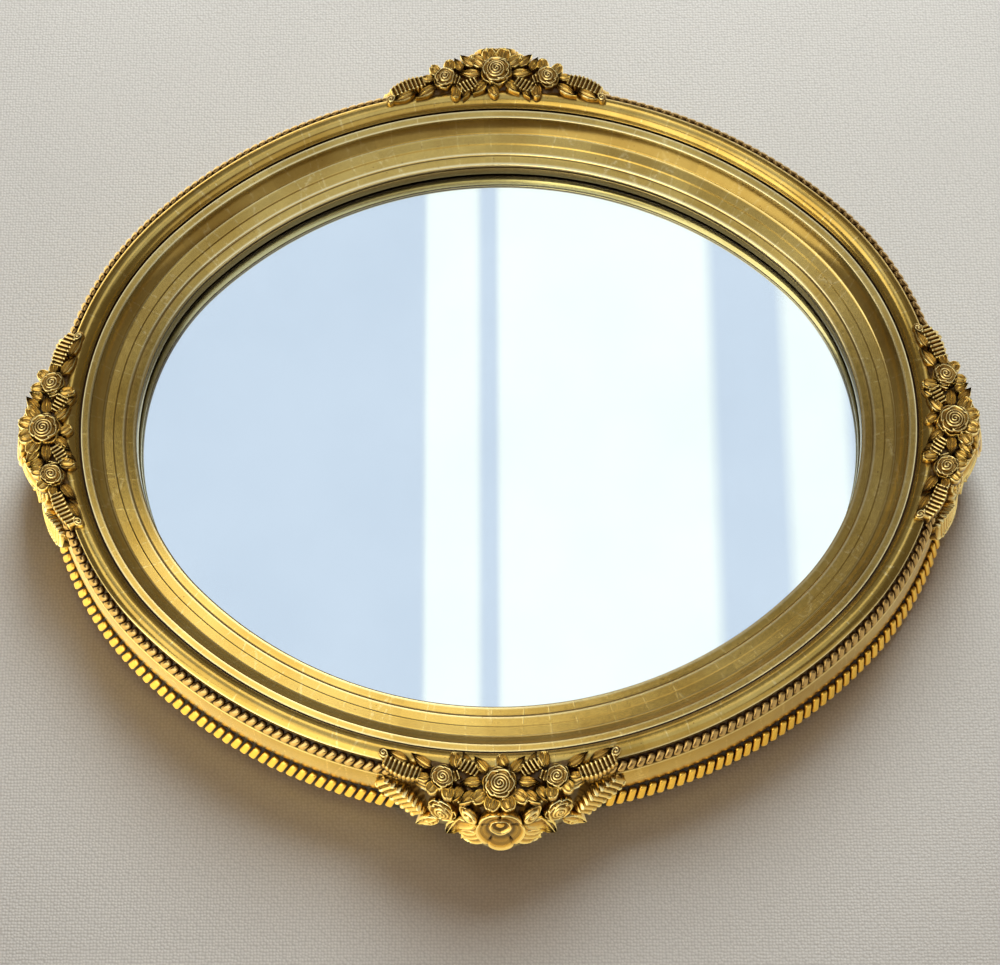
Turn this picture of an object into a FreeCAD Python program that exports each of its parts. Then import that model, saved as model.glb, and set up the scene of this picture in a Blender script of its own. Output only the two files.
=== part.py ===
import FreeCAD, Part
import math
import os
import Sketcher
from FreeCAD import Placement, Rotation, Vector

# Oval gilt wall mirror, in millimetres. The drawing frame has x to the right, y up and z from the
# wall towards the viewer. FRONT stands it upright: the part has +Z up, faces -Y, and its origin is
# the middle of the oval on the wall.

SIZES = {
    # Sight opening of the lip, and the layers from the wall to the lip
    "sight_width": 496,
    "sight_height": 396,
    "felt_thickness": 1.5,
    "ring_thickness": 16.8,
    "board_thickness": 3,
    "silver_thickness": 0.2,
    "glass_thickness": 4,
    "slip_height": 8.5,
    "lip_thickness": 6.5,
    "rabbet_width": 7,
    "glass_overlap": 6,
    # Moulding, from the lip outwards
    "lip_nose": 1.5,
    "tread_width": 7,
    "tread_rise": 0.9,
    "riser_height": 1.1,
    "cove_width": 7.3,
    "cove_rise": 9.9,
    "cove_hollow": 2.4,
    "fillet_width": 4.3,
    "fillet_rise": 0.7,
    "quirk_width": 1.7,
    "quirk_depth": 2.5,
    "torus_width": 12.7,
    "torus_lift": 1.6,
    "torus_rise": 3.6,
    "torus_crown": 5.2,
    "rope_depth": 1.6,
    "rope_width": 8,
    "rope_drop": 7.6,
    "rim_height": 1.3,
    "rim_width": 1,
    "flank_spread": 3.8,
    "flank_drop": 29.5,
    "flank_hollow": 1.2,
    "roll_height": 3.6,
    "roll_bulge": 1.2,
    "base_inset": 1,
    # Base ring, felt and slip
    "ring_inner": 27,
    "ring_shoulder": 60,
    "ring_foot": 66.2,
    "foot_height": 3.1,
    "felt_inner": 36,
    "felt_outer": 60,
    "slip_reveal": 0.8,
    "slip_bevel": 2.2,
    "slip_face": 5,
    "slip_clearance": 0.3,
    # Keys across the four glued joints
    "key_inner": 26,
    "key_width": 26,
    "key_length": 30,
    "key_thickness": 6,
    "key_depth": 8,
    # Rope beads and gadroons
    "rope_length": 9.4,
    "rope_radius": 2.7,
    "rope_pitch": 6.3,
    "rope_slant": 22,
    "gadroon_length": 10.4,
    "gadroon_radius": 2.6,
    "gadroon_pitch": 7,
    "gadroon_slant": 16,
    "bead_glue": 0.05,
    # Ornaments: the long pair at top and bottom, the short pair at the sides
    "plaque_back": 6,
    "plaque_front": 69,
    "ornament_inner": 38,
    "ornament_end": 46,
    "ornament_foot": 69,
    "course_gap": 1,
    "shoulder_half": 24,
    "shoulder_drop": 11,
    "long_half": 77,
    "long_reach": 78,
    "long_flare": 12,
    "long_bloom": 14,
    "short_half": 70,
    "short_reach": 75,
    "short_flare": 4,
    "short_bloom": 9,
    "short_drop": 12,
    "rose_radius": 17,
    "rose_petal_radius": 8.5,
    "rose_petal_height": 4.2,
    "rose_heart_radius": 10.5,
    "rose_heart_height": 6.5,
    "rose_curl_radius": 5.6,
    "rose_curl_wire": 1.5,
    "rose_bud_radius": 2.25,
    "side_rose_radius": 10.5,
    "side_rose_petal_radius": 5.4,
    "side_rose_petal_height": 3,
    "side_rose_heart_radius": 6,
    "side_rose_heart_height": 4.6,
    "side_rose_curl_radius": 3.2,
    "side_rose_curl_wire": 1,
    "side_rose_bud_radius": 1.5,
    "leaf_length": 18,
    "leaf_width": 9.5,
    "leaf_height": 3,
    "bud_length": 12,
    "bud_width": 8,
    "bud_height": 3.4,
    "pleat_radius": 2.2,
    "pleat_pitch": 3.9,
    "ribbon_width": 9.5,
    "bloom_height": 54,
    "bloom_inset": 5,
    # Turn buttons and their screws
    "button_width": 10,
    "button_reach": 24,
    "button_round": 3.6,
    "button_thickness": 1.2,
    "button_place": 15,
    "pivot_clearance": 0.3,
    "screw_radius": 1.75,
    "screw_length": 13,
    "screw_head_radius": 4,
    "screw_head_height": 2.4,
    "pilot_clearance": 0.15,
    # Hanger straps and D-rings
    "hanger_angle": 30,
    "hanger_place": 13,
    "strap_width": 11,
    "strap_length": 30,
    "strap_thickness": 1.2,
    "strap_screw_inset": 6,
    "strap_screw_pitch": 13,
    "ring_wire_radius": 1.1,
    "ring_half_width": 9,
    "ring_arm": 6,
    "loop_clearance": 0.3,
}

PETALS = 5
PLEATS = 5
FRONT = Placement(Vector(0, 0, 0), Rotation(Vector(1, 0, 0), 90))
SIDES = {"right": 0, "top": 90, "left": 180, "bottom": 270}
LONG_SIDES = ("top", "bottom")
QUARTERS = {
    "top_right": ("top", "right", 45),
    "top_left": ("top", "left", 135),
    "bottom_left": ("bottom", "left", 225),
    "bottom_right": ("bottom", "right", 315),
}
BUTTONS = {
    "top_left": ("top", 115),
    "top_right": ("top", 65),
    "left": ("left", 180),
    "right": ("right", 0),
    "bottom_left": ("bottom", 245),
    "bottom_right": ("bottom", 295),
}

# Ornament motifs of one half, mirrored for the other: place along the course and out from the
# sight edge, as on the long pair, and the way the tip points, in degrees from outwards
LEAVES = ((12, 66, 52), (45, 59, 62), (64, 46, 98), (44, 48, 128), (20, 56, 25))
BUDS = ((30, 46, 165), (0, 45, 150))
RIBBONS = ((61, 51, 10), (19, 44, 10))
SIDE_ROSE = (39, 56, 20)
ROSE = (0, 60, 0)

DOC = FreeCAD.newDocument("OvalMirror")


class Size:
    """A number together with the sheet expression that gives it."""

    def __init__(self, value, text):
        self.value = value
        self.text = text

    def __add__(self, other):
        other = size(other)
        return Size(self.value + other.value, f"({self.text} + {other.text})")

    def __sub__(self, other):
        other = size(other)
        return Size(self.value - other.value, f"({self.text} - {other.text})")

    def __mul__(self, other):
        other = size(other)
        return Size(self.value * other.value, f"({self.text} * {other.text})")

    def __truediv__(self, other):
        other = size(other)
        return Size(self.value / other.value, f"({self.text} / {other.text})")

    def __neg__(self):
        return Size(-self.value, f"(-{self.text})")

    def root(self):
        return Size(math.sqrt(self.value), f"sqrt({self.text})")


def size(number):
    """Give a plain number as a Size."""
    return number if isinstance(number, Size) else Size(float(number), f"({float(number)})")


def write_sheet():
    """Write the driving dimensions to the document's sheet and give them back as Sizes."""
    sheet = DOC.addObject("Spreadsheet::Sheet", "Sizes")
    named = {}
    for row, (name, value) in enumerate(SIZES.items(), start=1):
        sheet.set(f"A{row}", name)
        sheet.set(f"B{row}", str(value))
        sheet.setAlias(f"B{row}", name)
        named[name] = Size(value, f"Sizes.{name}")
    DOC.recompute()
    return named


S = write_sheet()
ZERO = size(0)
QUARTER_RISE = 1 - math.sqrt(0.5)

# The oval is four tangent quarter arcs. Their centres lie the same distance from the middle.
CENTRE_SHIFT = (S["sight_width"] - S["sight_height"]) / (4 - 2 * math.sqrt(2))

# Levels above the wall
BOARD_BACK = S["felt_thickness"] + S["ring_thickness"]
SILVER_BACK = BOARD_BACK + S["board_thickness"]
GLASS_BACK = SILVER_BACK + S["silver_thickness"]
GLASS_FRONT = GLASS_BACK + S["glass_thickness"]
LIP_BACK = GLASS_FRONT + S["slip_height"]
LIP_FRONT = LIP_BACK + S["lip_thickness"]


def arc_radius(side):
    """Radius of the sight edge on one side of the oval."""
    if side in LONG_SIDES:
        return S["sight_height"] / 2 + CENTRE_SHIFT
    return S["sight_width"] / 2 - CENTRE_SHIFT


def arc_centre(side):
    """Centre of the arc on one side, in the drawing frame."""
    shift = -CENTRE_SHIFT if side in LONG_SIDES else CENTRE_SHIFT
    if side in ("left", "bottom"):
        shift = -shift
    return (ZERO, shift) if side in LONG_SIDES else (shift, ZERO)


def bind(item, sizes):
    """Bind properties of an object to the sheet."""
    for name, value in sizes.items():
        item.setExpression(name, size(value).text)


def place(item, x=ZERO, y=ZERO, z=ZERO, turn=0, local=None):
    """Stand an object upright at a place of the drawing frame, turned about the viewing axis."""
    spin = Rotation(Vector(0, 0, 1), turn)
    if local is not None:
        spin = spin.multiply(local)
    item.Placement = Placement(Vector(x.value, -z.value, y.value), FRONT.Rotation.multiply(spin))
    bind(item, {"Placement.Base.x": x, "Placement.Base.y": -z, "Placement.Base.z": y})


def make(kind, name, **sizes):
    """Add a primitive with its sizes bound to the sheet."""
    item = DOC.addObject(kind, name)
    bind(item, sizes)
    return item


def make_rod(name, radius, length):
    """Add a round rod."""
    return make("Part::Cylinder", name, Radius=radius, Height=length)


def fuse(name, shapes):
    """Join shapes into one piece."""
    item = DOC.addObject("Part::MultiFuse", name)
    item.Shapes = shapes
    item.Refine = True
    return item


def cut(name, base, tool):
    """Cut one shape with another."""
    item = DOC.addObject("Part::Cut", name)
    item.Base = base
    item.Tool = tool
    item.Refine = True
    return item


def sketch_on(body, role):
    """Start a sketch on one of the body's own planes."""
    sketch = body.newObject("Sketcher::SketchObject", f"{body.Name}_sketch")
    plane = next(item for item in body.Origin.OriginFeatures if item.Role == role)
    sketch.AttachmentSupport = (plane, [""])
    sketch.MapMode = "FlatFace"
    return sketch


def add_rule(sketch, rule, name, value):
    """Add a named dimension to a sketch and bind it to the sheet."""
    index = sketch.addConstraint(rule)
    sketch.renameConstraint(index, name)
    sketch.setExpression(f"Constraints.{name}", value.text)


def draw(sketch, outline):
    """Draw a closed outline with every corner bound to the sheet.

    Each corner is (x, y, rise). The rise is how far the edge to the next corner bulges to the left
    of travel, as an arc, or None where that edge is straight.
    """
    first = sketch.GeometryCount
    starts = []
    ends = []
    following = outline[1:] + outline[:1]
    for index, ((x, y, rise), (next_x, next_y, _)) in enumerate(zip(outline, following), start=first):
        start = Vector(x.value, y.value, 0)
        end = Vector(next_x.value, next_y.value, 0)
        if rise is None:
            sketch.addGeometry(Part.LineSegment(start, end))
        else:
            left = Vector(start.y - end.y, end.x - start.x, 0).normalize()
            middle = (start + end) * 0.5 + left * rise.value
            sketch.addGeometry(Part.Arc(start, middle, end))
        first_gap = sketch.getPoint(index, 1).distanceToPoint(start)
        forward = first_gap < sketch.getPoint(index, 2).distanceToPoint(start)
        starts.append(1 if forward else 2)
        ends.append(2 if forward else 1)
    for step, (x, y, rise) in enumerate(outline):
        index = first + step
        before = first + (step - 1) % len(outline)
        sketch.addConstraint(
            Sketcher.Constraint("Coincident", before, ends[step - 1], index, starts[step])
        )
        for axis, value in (("X", x), ("Y", y)):
            rule = Sketcher.Constraint(f"Distance{axis}", -1, 1, index, starts[step], value.value)
            add_rule(sketch, rule, f"corner_{index}_{axis}", value)
        if rise is not None:
            next_x, next_y, _ = following[step]
            run = next_x - x
            climb = next_y - y
            bulge = rise if rise.value > 0 else -rise
            radius = ((run * run + climb * climb) / 4 + bulge * bulge) / (bulge * 2)
            rule = Sketcher.Constraint("Radius", index, radius.value)
            add_rule(sketch, rule, f"bend_{index}", radius)


def revolve(body, sketch, axis, angle, midplane):
    """Turn a sketch into a solid about one of its own axes."""
    sweep = body.newObject("PartDesign::Revolution", f"{body.Name}_sweep")
    sweep.Profile = sketch
    sweep.ReferenceAxis = (sketch, [axis])
    sweep.Angle = angle
    sweep.Midplane = midplane
    body.Tip = sweep


def pad(body, sketch, length):
    """Extrude a sketch to a thickness from the sheet."""
    feature = body.newObject("PartDesign::Pad", f"{body.Name}_pad")
    feature.Profile = sketch
    bind(feature, {"Length": length})
    body.Tip = feature


def sector(name, side, section):
    """Sweep a section through one quarter of the oval.

    Each corner of the section is (out, level, rise), with out measured from the sight edge, or
    None for a corner on the arc's own axis.
    """
    body = DOC.addObject("PartDesign::Body", f"{name}_{side}")
    sketch = sketch_on(body, "XZ_Plane")
    radius = arc_radius(side)
    draw(sketch, [(ZERO if out is None else radius + out, level, rise) for out, level, rise in section])
    revolve(body, sketch, "V_Axis", 90, True)
    x, y = arc_centre(side)
    place(body, x, y, turn=SIDES[side])
    return body


def oval(name, section):
    """Sweep a section right round the oval, as one piece."""
    return fuse(name, [sector(f"{name}_arc", side, section) for side in SIDES])


def disc(name, out, back, thickness):
    """A flat oval plate that reaches a distance out from the sight edge."""
    front = back + thickness
    return oval(name, [(None, back, None), (out, back, None), (out, front, None), (None, front, None)])


def moulding_section():
    """Corners of the frame's section, and the seat line of the rope course."""
    out = ZERO
    level = LIP_FRONT
    corners = [(out, LIP_BACK, None), (out, level, S["lip_nose"] * QUARTER_RISE)]
    level = level + S["lip_nose"]
    corners.append((out + S["lip_nose"], level, None))
    for _ in range(3):
        out = out + S["tread_width"]
        level = level + S["tread_rise"]
        corners.append((out, level, None))
        level = level + S["riser_height"]
        corners.append((out, level, None))
    corners[-1] = (out, level, -S["cove_hollow"])
    out = out + S["cove_width"]
    level = level + S["cove_rise"]
    corners.append((out, level, None))
    out = out + S["fillet_width"]
    level = level + S["fillet_rise"]
    corners.append((out, level, None))
    corners.append((out, level - S["quirk_depth"], None))
    out = out + S["quirk_width"]
    corners.append((out, level - S["quirk_depth"], None))
    level = level + S["torus_lift"]
    corners.append((out, level, S["torus_crown"]))
    out = out + S["torus_width"]
    level = level + S["torus_rise"]
    corners.append((out, level, None))
    level = level - S["rope_depth"]
    seat_start = (out, level)
    corners.append((out, level, None))
    out = out + S["rope_width"]
    level = level - S["rope_drop"]
    seat_end = (out, level)
    corners.append((out, level, None))
    level = level + S["rim_height"]
    corners.append((out, level, None))
    out = out + S["rim_width"]
    corners.append((out, level, -S["flank_hollow"]))
    out = out + S["flank_spread"]
    level = level - S["flank_drop"]
    corners.append((out, level, S["roll_bulge"]))
    level = level - S["roll_height"]
    corners.append((out, level, None))
    out = out - S["base_inset"]
    corners.append((out, level, None))
    corners.append((out, BOARD_BACK, None))
    corners.append((S["rabbet_width"], BOARD_BACK, None))
    corners.append((S["rabbet_width"], LIP_BACK, None))
    return corners, (seat_start, seat_end)


class Spot:
    """A place in the drawing frame with its own turned x and y directions."""

    def __init__(self, x, y, turn):
        self.x = x
        self.y = y
        self.turn = turn

    def shift(self, x=ZERO, y=ZERO):
        """Move along the spot's own directions."""
        cosine = math.cos(math.radians(self.turn))
        sine = math.sin(math.radians(self.turn))
        return Spot(self.x + x * cosine - y * sine, self.y + x * sine + y * cosine, self.turn)

    def spin(self, turn):
        """Turn the spot's own directions."""
        return Spot(self.x, self.y, self.turn + turn)

    def seat(self, item, level, local=None):
        """Put an object at the spot, at a level above the wall."""
        place(item, self.x, self.y, level, self.turn, local)
        return item


def spot_on(side, angle, out):
    """A spot on one arc of the oval, with x outwards; the angle is from the drawing's x axis."""
    x, y = arc_centre(side)
    return Spot(x, y, angle).shift(arc_radius(side) + out)


ALONG_X = Rotation(Vector(0, 1, 0), 90)
ALONG_Y = Rotation(Vector(1, 0, 0), -90)


def make_keys():
    """Loose wooden keys, half in each of the two segments that meet at a joint."""
    keys = []
    for side, angle in (("right", 45), ("left", 135), ("left", 225), ("right", 315)):
        key = make(
            "Part::Box",
            f"key_{angle}",
            Length=S["key_width"],
            Width=S["key_length"],
            Height=S["key_thickness"],
        )
        corner = spot_on(side, angle, S["key_inner"]).shift(y=-S["key_length"] / 2)
        keys.append(corner.seat(key, BOARD_BACK + S["key_depth"]))
    return fuse("joint_keys", keys)


def make_screw(name, spot, grip):
    """A round-headed screw and the pilot bore it needs, for a plate of the given grip."""
    under_head = BOARD_BACK - grip
    head = make_rod(f"{name}_head", S["screw_head_radius"], S["screw_head_height"])
    shank = make_rod(f"{name}_shank", S["screw_radius"], S["screw_length"])
    clearance = S["pilot_clearance"]
    bore = make_rod(f"{name}_bore", S["screw_radius"] + clearance, S["screw_length"] + clearance)
    spot.seat(head, under_head - S["screw_head_height"])
    spot.seat(shank, under_head)
    spot.seat(bore, under_head)
    return fuse(name, [head, shank]), bore


def make_button(name, spot):
    """A flat turn button with its pivot hole, reaching along x from the pivot."""
    body = DOC.addObject("PartDesign::Body", name)
    sketch = sketch_on(body, "XY_Plane")
    half = S["button_width"] / 2
    far = S["button_reach"] - S["button_round"]
    draw(
        sketch,
        [
            (ZERO, -half, None),
            (far, -half, -S["button_round"]),
            (far, half, None),
            (ZERO, half, -S["button_round"]),
        ],
    )
    hole = S["screw_radius"] + S["pivot_clearance"]
    index = sketch.addGeometry(Part.Circle(Vector(0, 0, 0), Vector(0, 0, 1), hole.value))
    sketch.addConstraint(Sketcher.Constraint("Coincident", index, 3, -1, 1))
    add_rule(sketch, Sketcher.Constraint("Radius", index, hole.value), "pivot", hole)
    pad(body, sketch, S["button_thickness"])
    return spot.seat(body, BOARD_BACK - S["pivot_clearance"] - S["button_thickness"])


def make_hanger(name, spot):
    """A strap with a rolled loop, its two screws with their bores, and a D-ring in the loop."""
    loop_bore = S["ring_wire_radius"] + S["loop_clearance"]
    loop_radius = loop_bore + S["strap_thickness"]
    axis = BOARD_BACK - loop_radius
    left = spot.shift(-S["strap_width"] / 2)
    plate = make(
        "Part::Box",
        f"{name}_plate",
        Length=S["strap_width"],
        Width=S["strap_length"],
        Height=S["strap_thickness"],
    )
    left.shift(y=-S["strap_length"]).seat(plate, BOARD_BACK - S["strap_thickness"])
    loop = make_rod(f"{name}_loop", loop_radius, S["strap_width"])
    bore = make_rod(f"{name}_loop_bore", loop_bore, S["strap_width"])
    left.seat(loop, axis, ALONG_X)
    left.seat(bore, axis, ALONG_X)
    first = S["strap_screw_inset"] - S["strap_length"]
    screws = []
    bores = []
    for row, along in enumerate((first, first + S["strap_screw_pitch"])):
        screw, pilot = make_screw(f"{name}_screw_{row}", spot.shift(y=along), S["strap_thickness"])
        screws.append(screw)
        bores.append(pilot)
    holes = fuse(f"{name}_holes", [bore] + bores)
    strap = cut(f"hanger_strap_{name}", fuse(f"{name}_blank", [plate, loop]), holes)
    bar = make_rod(f"{name}_bar", S["ring_wire_radius"], S["ring_half_width"] * 2)
    spot.shift(-S["ring_half_width"]).seat(bar, axis, ALONG_X)
    bend = make("Part::Torus", f"{name}_bend", Radius1=S["ring_half_width"], Radius2=S["ring_wire_radius"])
    bend.Angle3 = 180
    spot.shift(y=S["ring_arm"]).seat(bend, axis)
    pieces = [bar, bend]
    for end, reach in (("near", -S["ring_half_width"]), ("far", S["ring_half_width"])):
        arm = make_rod(f"{name}_arm_{end}", S["ring_wire_radius"], S["ring_arm"])
        spot.shift(reach).seat(arm, axis, ALONG_Y)
        corner = make("Part::Sphere", f"{name}_corner_{end}", Radius=S["ring_wire_radius"])
        spot.shift(reach).seat(corner, axis)
        pieces += [arm, corner]
    return strap, fuse(f"hanger_ring_{name}", pieces), screws, bores


def make_bead(name, length, radius):
    """A half-round bead with rounded ends, flat side down, along x."""
    body = DOC.addObject("PartDesign::Body", name)
    sketch = sketch_on(body, "XY_Plane")
    turn = -radius * QUARTER_RISE
    draw(
        sketch,
        [
            (ZERO, ZERO, None),
            (length, ZERO, turn),
            (length - radius, radius, None),
            (radius, radius, turn),
        ],
    )
    revolve(body, sketch, "H_Axis", 180, False)
    return body


def make_leaf(name, length, width, height):
    """A pointed leaf from its stalk along x, flat below and arched across."""
    body = DOC.addObject("PartDesign::Body", f"{name}_plan")
    sketch = sketch_on(body, "XY_Plane")
    draw(sketch, [(ZERO, ZERO, -width / 2), (length, ZERO, -width / 2)])
    pad(body, sketch, height)
    radius = (width * width / 4 + height * height) / (height * 2)
    arch = make_rod(f"{name}_arch", radius, length)
    arch.Placement = Placement(Vector(0, 0, (height - radius).value), ALONG_X)
    bind(arch, {"Placement.Base.z": height - radius})
    leaf = DOC.addObject("Part::MultiCommon", name)
    leaf.Shapes = [body, arch]
    return leaf


def make_cap(name, radius, height):
    """A low dome with its flat side down, and the radius of its sphere."""
    ball = (radius * radius + height * height) / (height * 2)
    slope = (ball - height) / ball
    start = Size(math.degrees(math.asin(slope.value)), f"asin({slope.text})")
    cap = make("Part::Sphere", name, Radius=ball, Angle1=start)
    bind(cap, {"Placement.Base.z": height - ball})
    return cap, ball


def make_rose(name, kind):
    """A rose: a ring of petals round a domed heart with a curled rim and a bud."""
    petal_radius = S[f"{kind}_petal_radius"]
    reach = S[f"{kind}_radius"] - petal_radius
    pieces = []
    for petal in range(PETALS):
        angle = 2 * math.pi * petal / PETALS
        cap, _ = make_cap(f"{name}_petal_{petal}", petal_radius, S[f"{kind}_petal_height"])
        x = reach * math.cos(angle)
        y = reach * math.sin(angle)
        bind(cap, {"Placement.Base.x": x, "Placement.Base.y": y})
        pieces.append(cap)
    heart_height = S[f"{kind}_heart_height"]
    heart, ball = make_cap(f"{name}_heart", S[f"{kind}_heart_radius"], heart_height)
    ring = S[f"{kind}_curl_radius"]
    curl = make("Part::Torus", f"{name}_curl", Radius1=ring, Radius2=S[f"{kind}_curl_wire"])
    bind(curl, {"Placement.Base.z": heart_height - ball + (ball * ball - ring * ring).root()})
    bud = make("Part::Sphere", f"{name}_bud", Radius=S[f"{kind}_bud_radius"])
    bind(bud, {"Placement.Base.z": heart_height})
    return fuse(name, pieces + [heart, curl, bud])


def make_ribbon(name):
    """A pleated ribbon: half-round pleats side by side, each along x."""
    pleats = []
    for index in range(PLEATS):
        pleat = make_bead(f"{name}_pleat_{index}", S["ribbon_width"], S["pleat_radius"])
        bind(
            pleat,
            {
                "Placement.Base.x": -S["ribbon_width"] / 2,
                "Placement.Base.y": S["pleat_pitch"] * (index - (PLEATS - 1) / 2),
            },
        )
        pleats.append(pleat)
    return fuse(name, pleats)


def stand(name, shape):
    """Keep a shape of the drawing frame as an upright piece of its own."""
    piece = DOC.addObject("Part::Feature", name)
    piece.Shape = shape
    piece.Placement = FRONT
    return piece


def set_at(master, placement):
    """A copy of a master's shape at a place of the drawing frame."""
    shape = master.Shape.copy()
    shape.Placement = placement
    return shape


def mould(side, name):
    """A size of the ornament on one side, long or short."""
    return S[f"long_{name}"] if side in LONG_SIDES else S[f"short_{name}"]


def ornament_turn(side):
    """Direction of an ornament's middle from the centre of its arc. The short pair hangs lower."""
    if side in LONG_SIDES:
        return SIDES[side]
    tilt = math.degrees(math.asin((S["short_drop"] / (arc_radius(side) + ROSE[1])).value))
    return SIDES[side] - tilt if side == "right" else SIDES[side] + tilt


def run_spots(quarter, out, pitch):
    """Evenly spaced spots along the oval from one ornament's end to the next."""
    long_side, short_side, joint = QUARTERS[quarter]
    legs = []
    for side in (long_side, short_side):
        radius = (arc_radius(side) + out).value
        end = (mould(side, "half") + S["course_gap"]).value
        reach = (ornament_turn(side) - joint + 180) % 360 - 180
        span = abs(reach) - math.degrees(math.asin(end / radius))
        legs.append((side, math.copysign(span, reach), math.radians(span) * radius))
    total = sum(length for _, _, length in legs)
    count = round(total / pitch.value)
    for index in range(count):
        along = total * (index + 0.5) / count
        side, span, length = legs[0]
        share = 1 - along / length
        if along > length:
            side, span, reach = legs[1]
            share = (along - length) / reach
        yield spot_on(side, joint + span * share, out)


def make_course(name, quarter, bead, seat, kind):
    """A run of beads on a sloping seat, from one ornament's end to the next."""
    (inner, top), (outer, bottom) = seat
    slope = Vector((outer - inner).value, 0, (bottom - top).value).normalize()
    lean = math.radians(S[f"{kind}_slant"].value)
    half = S[f"{kind}_length"].value / 2
    level = ((top + bottom) / 2).value
    copies = []
    for spot in run_spots(quarter, (inner + outer) / 2, S[f"{kind}_pitch"]):
        turn = Rotation(Vector(0, 0, 1), spot.turn)
        normal = turn.multVec(Vector(-slope.z, 0, slope.x))
        length_way = turn.multVec(slope) * math.cos(lean) - turn.multVec(Vector(0, 1, 0)) * math.sin(lean)
        middle = Vector(spot.x.value, spot.y.value, level) + normal * S["bead_glue"].value
        axes = Rotation(length_way, normal.cross(length_way), normal, "XYZ")
        copies.append(set_at(bead, Placement(middle - length_way * half, axes)))
    return stand(f"{name}_{quarter}", Part.makeCompound(copies))


def plaque_outline(side, end, flare):
    """Outline of an ornament's plaque, with x out from the centre of the side's arc."""
    radius = arc_radius(side)
    half = mould(side, "half")
    crown = radius + mould(side, "reach") + flare
    shoulder = crown - S["shoulder_drop"]

    def across(arc, along):
        return (arc * arc - along * along).root()

    inner_x = across(radius + S["ornament_inner"], half)
    end_x = across(radius + end, half)
    shoulder_x = across(shoulder, S["shoulder_half"])
    return [
        (inner_x, -half, None),
        (end_x, -half, None),
        (shoulder_x, -S["shoulder_half"], shoulder_x - crown),
        (shoulder_x, S["shoulder_half"], None),
        (end_x, half, None),
        (inner_x, half, radius + S["ornament_inner"] - inner_x),
    ]


def make_plaque(side, blank, ring):
    """An ornament's deep plaque, seated over the moulding and the base ring."""
    body = DOC.addObject("PartDesign::Body", f"{side}_plaque_blank")
    sketches = []
    levels = (
        (S["plaque_back"], S["ornament_foot"], mould(side, "flare")),
        (S["plaque_front"], S["ornament_end"], ZERO),
    )
    for level, end, flare in levels:
        sketch = sketch_on(body, "XY_Plane")
        bind(sketch, {"AttachmentOffset.Base.z": level})
        draw(sketch, plaque_outline(side, end, flare))
        sketches.append(sketch)
    loft = body.newObject("PartDesign::AdditiveLoft", f"{side}_plaque_loft")
    loft.Profile = sketches[0]
    loft.Sections = sketches[1:]
    loft.Ruled = True
    body.Tip = loft
    x, y = arc_centre(side)
    place(body, x, y, turn=ornament_turn(side))
    return cut(f"{side}_plaque", cut(f"{side}_plaque_seat", body, blank), ring)


def make_bloom(side, blank, plaque):
    """The open bloom on the outer slope of an ornament."""
    ball = make("Part::Sphere", f"{side}_bloom_ball", Radius=mould(side, "bloom"))
    middle = spot_on(side, ornament_turn(side), mould(side, "reach") - S["bloom_inset"])
    middle.seat(ball, S["bloom_height"])
    return cut(f"{side}_bloom", cut(f"{side}_bloom_seat", ball, blank), plaque)


def motif_places(side, motifs):
    """Places of a motif on the front of a plaque, on both halves."""
    inner = S["ornament_inner"].value
    stretch = mould(side, "half").value / S["long_half"].value
    spread = (mould(side, "reach").value - inner) / (S["long_reach"].value - inner)
    for along, out, turn in motifs:
        for mirror in (1, -1) if along else (1,):
            reach = inner + (out - inner) * spread
            angle = math.degrees(mirror * along * stretch / (arc_radius(side).value + reach))
            spot = spot_on(side, ornament_turn(side) + angle, size(reach))
            base = Vector(spot.x.value, spot.y.value, S["plaque_front"].value)
            yield Placement(base, Rotation(Vector(0, 0, 1), spot.turn + mirror * turn))


def make_motifs(side, masters):
    """The roses, ribbons and leaves of one ornament, each cut clear of the one above it."""

    def copies(name, motifs):
        return [set_at(masters[name], spot) for spot in motif_places(side, motifs)]

    rose = copies("rose", [ROSE])
    side_roses = copies("side_rose", [SIDE_ROSE])
    ribbons = Part.makeCompound(copies("ribbon", RIBBONS)).cut(rose + side_roses)
    foliage = copies("leaf", LEAVES) + copies("bud", BUDS)
    leaves = foliage[0].fuse(foliage[1:]).cut(rose + side_roses + [ribbons])
    return [
        stand(f"{side}_rose", Part.makeCompound(rose)),
        stand(f"{side}_side_roses", Part.makeCompound(side_roses)),
        stand(f"{side}_ribbons", ribbons),
        stand(f"{side}_leaves", leaves),
    ]


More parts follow.
